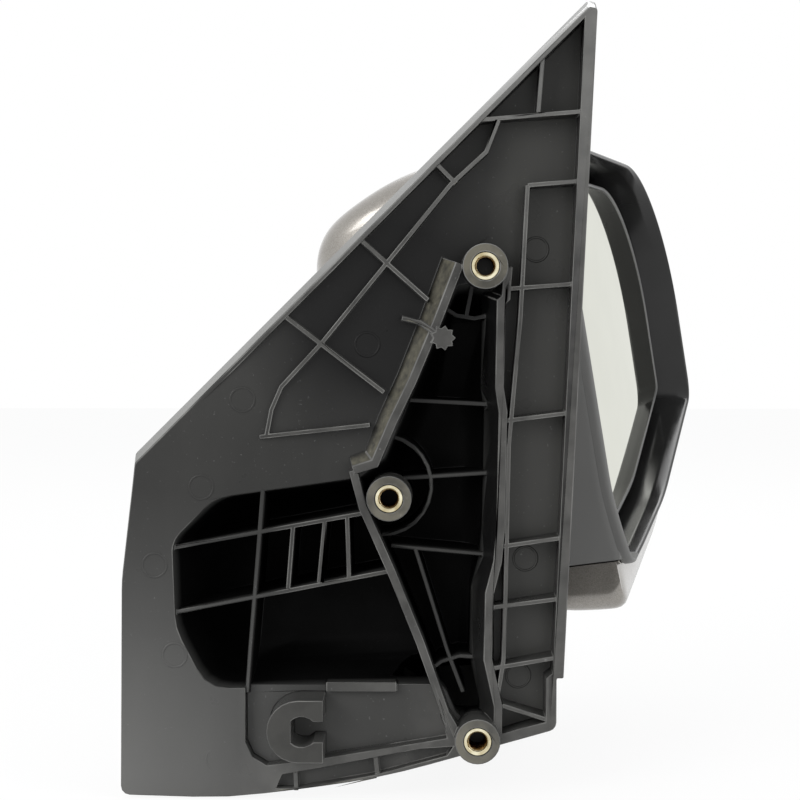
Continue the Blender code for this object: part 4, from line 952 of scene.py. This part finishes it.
def rounded_profile(points, radius):
    """Closed profile with its corners rounded: a quadratic curve runs from a radius before each corner to a
    radius after it, or to just short of half-way on a short side."""
    before = np.roll(points, 1, axis=0) - points
    after = np.roll(points, -1, axis=0) - points
    ends = []
    for side in (before, after):
        span = np.linalg.norm(side, axis=1, keepdims=True)
        ends.append(points + side / span * np.minimum(radius, span * SPAN_SHARE))
    t = np.linspace(0, 1, CURVE_POINTS)[None, :, None]
    curves = (1 - t) ** 2 * ends[0][:, None] + 2 * t * (1 - t) * points[:, None] + t ** 2 * ends[1][:, None]
    return curves.reshape(-1, points.shape[1])


print("rim's highest point:", rim_rows([(0.0, 0.0, 0.0)])[..., 2].max().round(4))

# %% [markdown]
# ## Gloss bezel
# The bezel is one section carried round the rim: a rounded rim face, a well that slopes in to the glass,
# and a flange behind it. Rounded corners in the section give the thin white lines that gloss plastic shows
# along its edges. The inboard side of the rim is satin, like the wall beside it.

# %% Bezel
WELL_DEPTH = 38.0
FLANGE_BACK = WELL_DEPTH + 2.4
BEZEL_ROUND = 0.8 * MM
BEZEL_ANGLE = 60
SATIN_DEPTH = 9 * MM
SATIN_START = -62 * MM

# Inset, depth behind the rim and outboard inset of each corner of the section, in millimetres.
BEZEL_SECTION = np.array([
    (0, 4.5, 0), (0, 1.7, 0), (0.4, 0.5, 0.4), (1.1, 0, 1.1), (1.6, 0.2, 1.6), (2.0, 0.9, 2.0), (3, 4.8, 3),
    (5, WELL_DEPTH, 11), (19, WELL_DEPTH, 19), (19, FLANGE_BACK, 19), (2.6, FLANGE_BACK, 8.6),
    (2.45, 5.6, 2.45), (0.9, 4.6, 0.9)])


def satin_rim(mesh, look):
    """The inboard side of the rim is satin: faces whose place along the head's outboard axis is past the
    start, and whose depth behind the rim is small."""
    middle = face_arrays(mesh)[0] - RIM_CENTRE
    satin = (middle @ OUTBOARD < SATIN_START) & (middle @ OUT > -SATIN_DEPTH)
    mesh.materials.append(look)
    mesh.polygons.foreach_set("material_index", satin.astype(np.int32))
    print("satin rim faces:", int(satin.sum()))


bezel_rows = rim_rows(rounded_profile(BEZEL_SECTION * MM, BEZEL_ROUND))
bezel = grid_piece("bezel_ring", bezel_rows, BEZEL_BLACK, closed=True, angle=BEZEL_ANGLE)
satin_rim(bezel.data, PANEL_SATIN)
dress(bezel, "head", "gloss_black", "rear_bezel")

# %% [markdown]
# ## The shell of the head
# The outer form runs from the rim to a blunt nose: its outline shrinks while its depth grows, both by a
# power of a sine or cosine, which gives a fuller shape than an ellipse. The cover and the inboard wall
# are both cut from it, so that they join without a step.

# %% Head shell
HEAD_DEPTH = 116 * MM
HEAD_POWER = 2.8
HEAD_START = 5 * MM
NOSE_ROWS = 64
FIRST_TURN = 0.001
TURN_POWER = 1.6
NOSE_INBOARD = 40 * MM
NOSE_RISE = 20 * MM
NOSE_TAPER = 0.12
TAPER_SPAN = (0.42, 0.85)
NOSE_LEAN = 0.1
LEAN_SPAN = (0.55, 1.0)
BELLY = 0.185
BELLY_START = 0.25
BELLY_FULL = 0.5
BELLY_RISE = 0.4
COVER_WALL = 2.4 * MM
LIP_ROUND = 0.4 * MM
SHELL_ANGLE = 50

# Inset and depth of the points round the shell's edge, from its inner side to its outer side.
SHELL_LIP = [(COVER_WALL, LIP_ROUND), (COVER_WALL - LIP_ROUND, 0.0), (LIP_ROUND, 0.0),
             (0.1 * MM, 0.12 * MM), (0.0, LIP_ROUND)]


def shell_rows(inset, trim):
    """Rows of the head's outer form from rim to nose. A turn up to 90 degrees, in steps that grow, gives
    share, its sine to the power 2/2.8, and scale, its cosine to that power: the outline shrinks by scale
    while the depth grows by share. The nose moves inboard and up with share squared. The lower half swells
    with the sine of a phase that climbs to a half just behind the rim, waits there, and reaches one at the
    nose. The upper half flattens by a smooth step of share, and leans back near the nose."""
    turn = FIRST_TURN + (np.pi / 2 - FIRST_TURN) * np.linspace(0, 1, NOSE_ROWS)[:, None] ** TURN_POWER
    share = np.sin(turn) ** (2 / HEAD_POWER)
    scale = np.abs(np.cos(turn)) ** (2 / HEAD_POWER)
    outline = rim_outline(inset)
    phase = np.maximum(share ** BELLY_RISE, np.minimum(share ** BELLY_START, BELLY_FULL))
    swell = 1 + BELLY * np.sin(np.pi * phase)
    taper = 1 - NOSE_TAPER * smooth_step(share, TAPER_SPAN)
    a = outline[:, 0] * scale - NOSE_INBOARD * share ** 2
    b = outline[:, 1] * scale * np.where(outline[:, 1] < 0, swell, taper) + NOSE_RISE * share ** 2
    depth = HEAD_START + (HEAD_DEPTH - trim - HEAD_START) * share + np.zeros_like(a)
    depth -= NOSE_LEAN * np.maximum(b, 0) * smooth_step(share, LEAN_SPAN)
    return dipped(a, b, -depth)


def head_shell(name, shrink, edge, look):
    """Closed wall of the head: inner rows from the nose to the rim, a rounded edge, and outer rows back to
    the nose."""
    inner = shell_rows(COVER_WALL + shrink, COVER_WALL)[::-1]
    lip = rim_rows([(shrink + inset, edge + back, shrink + inset) for inset, back in SHELL_LIP])
    outer = shell_rows(shrink, 0.0)
    return grid_piece(name, np.concatenate([inner, lip, outer]), look, angle=SHELL_ANGLE)


def head_block(name, low, high):
    """Box between two corners in the head's axes."""
    sides = np.stack([low, high])
    pick = np.array([(x, y, z) for x in (0, 1) for y in (0, 1) for z in (0, 1)])
    a, b, c = (sides[pick[:, axis], axis] for axis in range(3))
    faces = [(0, 1, 3, 2), (4, 6, 7, 5), (0, 4, 5, 1), (2, 3, 7, 6), (0, 2, 6, 4), (1, 5, 7, 3)]
    mesh = bpy.data.meshes.new(name)
    mesh.from_pydata(in_head(a, b, c).tolist(), [], faces)
    return linked(name, mesh)


print("shell rows and columns:", shell_rows(0.0, 0.0).shape[:2])

# %% [markdown]
# ## Inboard wall
# On the side that faces the base the shell is satin plastic and not painted. It belongs to the bezel, and
# keeping only what lies inside a block leaves a clean seam against the paint.

# %% Inboard wall
PANEL_LOW = np.array([-200.0, -85.0, -55.0]) * MM
PANEL_HIGH = np.array([-69.5, 58.0, 1.0]) * MM
PANEL_SHRINK = 0.15 * MM
PANEL_EDGE = 3.0 * MM
panel = head_shell("inboard_panel", PANEL_SHRINK, PANEL_EDGE, PANEL_SATIN)
carve(panel, head_block("panel_block", PANEL_LOW, PANEL_HIGH), "INTERSECT")
dress(panel, "head", "gloss_black", "rear_bezel")

# %% [markdown]
# ## Painted cover
# The cover is the same outer form, with a notch for the inboard wall and a hole for the neck. The dense
# grid keeps its highlights smooth, and the cuts are made last, because a Boolean leaves uneven faces only
# along its own edge.

# %% Cover
PANEL_SEAM = 0.5 * MM
PIVOT = (110 * MM, 110 * MM)
HOLE_RADIUS = 23.8 * MM
HOLE_BOTTOM = -50 * MM
HOLE_TOP = 30 * MM
TURNED_COLUMNS = 96


def turned_grid(profile, centre):
    """Surface of revolution about an upright axis from (radius, height) points."""
    around = full_turn(TURNED_COLUMNS)
    radius, height = (np.array(profile)[:, index, None] for index in (0, 1))
    x = centre[0] + radius * np.cos(around)
    y = centre[1] + radius * np.sin(around)
    return np.stack([x, y, height + np.zeros_like(around)], axis=-1)


cover = head_shell("painted_cover", 0.0, HEAD_START, SILVER)
carve(cover, head_block("panel_notch", PANEL_LOW - PANEL_SEAM, PANEL_HIGH + PANEL_SEAM), "DIFFERENCE")
hole_profile = [(0, HOLE_BOTTOM), (HOLE_RADIUS, HOLE_BOTTOM), (HOLE_RADIUS, HOLE_TOP), (0, HOLE_TOP)]
carve(cover, grid_piece("neck_hole", turned_grid(hole_profile, PIVOT), SILVER), "DIFFERENCE")
dress(cover, "head", "cover_paint", "front_cover")

# %% [markdown]
# ## Neck shroud
# The shroud hides the pivot, and its collar runs up into the cover. Its section is a tall thin strip,
# rounded at both ends and turned about the fold axis.

# %% Shroud
SHROUD_INNER = 21.5 * MM
SHROUD_OUTER = 23.5 * MM
SHROUD_FOOT = -7.4 * MM
SHROUD_TOP = 29.6 * MM
SHROUD_ROUND = 0.7 * MM
shroud_section = np.array([(SHROUD_INNER, SHROUD_FOOT), (SHROUD_OUTER, SHROUD_FOOT),
                           (SHROUD_OUTER, SHROUD_TOP), (SHROUD_INNER, SHROUD_TOP)])
shroud_grid = turned_grid(rounded_profile(shroud_section, SHROUD_ROUND), PIVOT)
shroud = grid_piece("neck_shroud", shroud_grid, HEAD_BLACK, closed=True)
dress(shroud, "head", "black_plastic", "pivot_shroud")

# %% [markdown]
# ## Mirror glass
# A door mirror is bent like a wide sphere, so that it shows a wider view. The plate runs from a pole in
# its middle out to a rounded edge and back. A flat plate would show one even grey, where the bent one
# shows the room's shades.

# %% Glass
GLASS_INSET = 9.8 * MM
GLASS_OUTBOARD = 14.2 * MM
GLASS_DEPTH = 12.35 * MM
GLASS_BACK = GLASS_DEPTH + 2.2 * MM
GLASS_DOME = 0.8 * MM
GLASS_BEVEL = 0.5 * MM
GLASS_ROWS = 14
LAST_SHARE = 0.985


def plate_rows(profile, dome):
    """Rows of a plate that follows the rim: each profile point gives a share of the outline, an inset past
    the glass edge and a depth. The plate is bent like a wide sphere: it rises by the dome times one less
    the square of the distance from the middle over the furthest such distance."""
    share, inset, depth = np.array(profile).T
    outlines = np.stack([drawn_outline(GLASS_INSET + more, GLASS_OUTBOARD + more) for more in inset])
    middle = outlines.mean(axis=1, keepdims=True)
    spread = middle + (outlines - middle) * share[:, None, None]
    distance = np.linalg.norm(spread - middle, axis=-1)
    rise = dome * (1 - (distance / distance.max()) ** 2)
    return in_head(spread[..., 0], spread[..., 1], rise - depth[:, None])


glass_shares = np.append(np.linspace(0, LAST_SHARE, GLASS_ROWS), 1.0)
glass_profile = [(share, GLASS_BEVEL, GLASS_DEPTH) for share in glass_shares]
glass_profile += [(1.0, 0.12 * MM, GLASS_DEPTH + 0.15 * MM), (1.0, 0.0, GLASS_DEPTH + GLASS_BEVEL)]
glass_profile += [(1.0, 0.0, GLASS_BACK), (0.0, 0.0, GLASS_BACK)]
glass = grid_piece("domed_glass", plate_rows(glass_profile, GLASS_DOME), MIRROR)
dress(glass, "glass", "mirror", "mirror_glass")

# %% [markdown]
# ## Glass holder
# The holder is a dish behind the glass, with a rounded lip that frames it. It follows the same outline, so
# the same function of share, inset and depth makes it, this time without a bend.

# %% Holder
LIP_OUT = -1.7
LIP_IN = -0.3
LIP_FACE = 11.8
DISH_FLOOR = 15.6
DISH_BACK = 18.0
DISH_CHAMFER = 1.0
HOLDER_ANGLE = 50

# Share of the outline, inset past the glass edge and depth, in millimetres.
HOLDER_SECTION = np.array([
    (0.0, LIP_OUT + DISH_CHAMFER, DISH_BACK),
    (1.0, LIP_OUT + DISH_CHAMFER, DISH_BACK),
    (1.0, LIP_OUT, DISH_BACK - DISH_CHAMFER),
    (1.0, LIP_OUT, LIP_FACE + 0.4),
    (1.0, LIP_OUT + 0.12, LIP_FACE + 0.12),
    (1.0, LIP_OUT + 0.4, LIP_FACE),
    (1.0, LIP_IN - 0.3, LIP_FACE),
    (1.0, LIP_IN, LIP_FACE + 0.3),
    (1.0, LIP_IN, DISH_FLOOR),
    (0.0, LIP_IN, DISH_FLOOR)])
holder_rows = plate_rows(HOLDER_SECTION * (1, MM, MM), 0.0)
holder = grid_piece("holder_dish", holder_rows, LIP_GREY, angle=HOLDER_ANGLE)
dress(holder, "glass", "black_plastic", "glass_holder")

# %% [markdown]
# ## Closing the lesson
# The size of the CAD box is written out.

# %% Size of the CAD box
print("cad box", [round(x, 4) for corner in cad_box for x in corner])
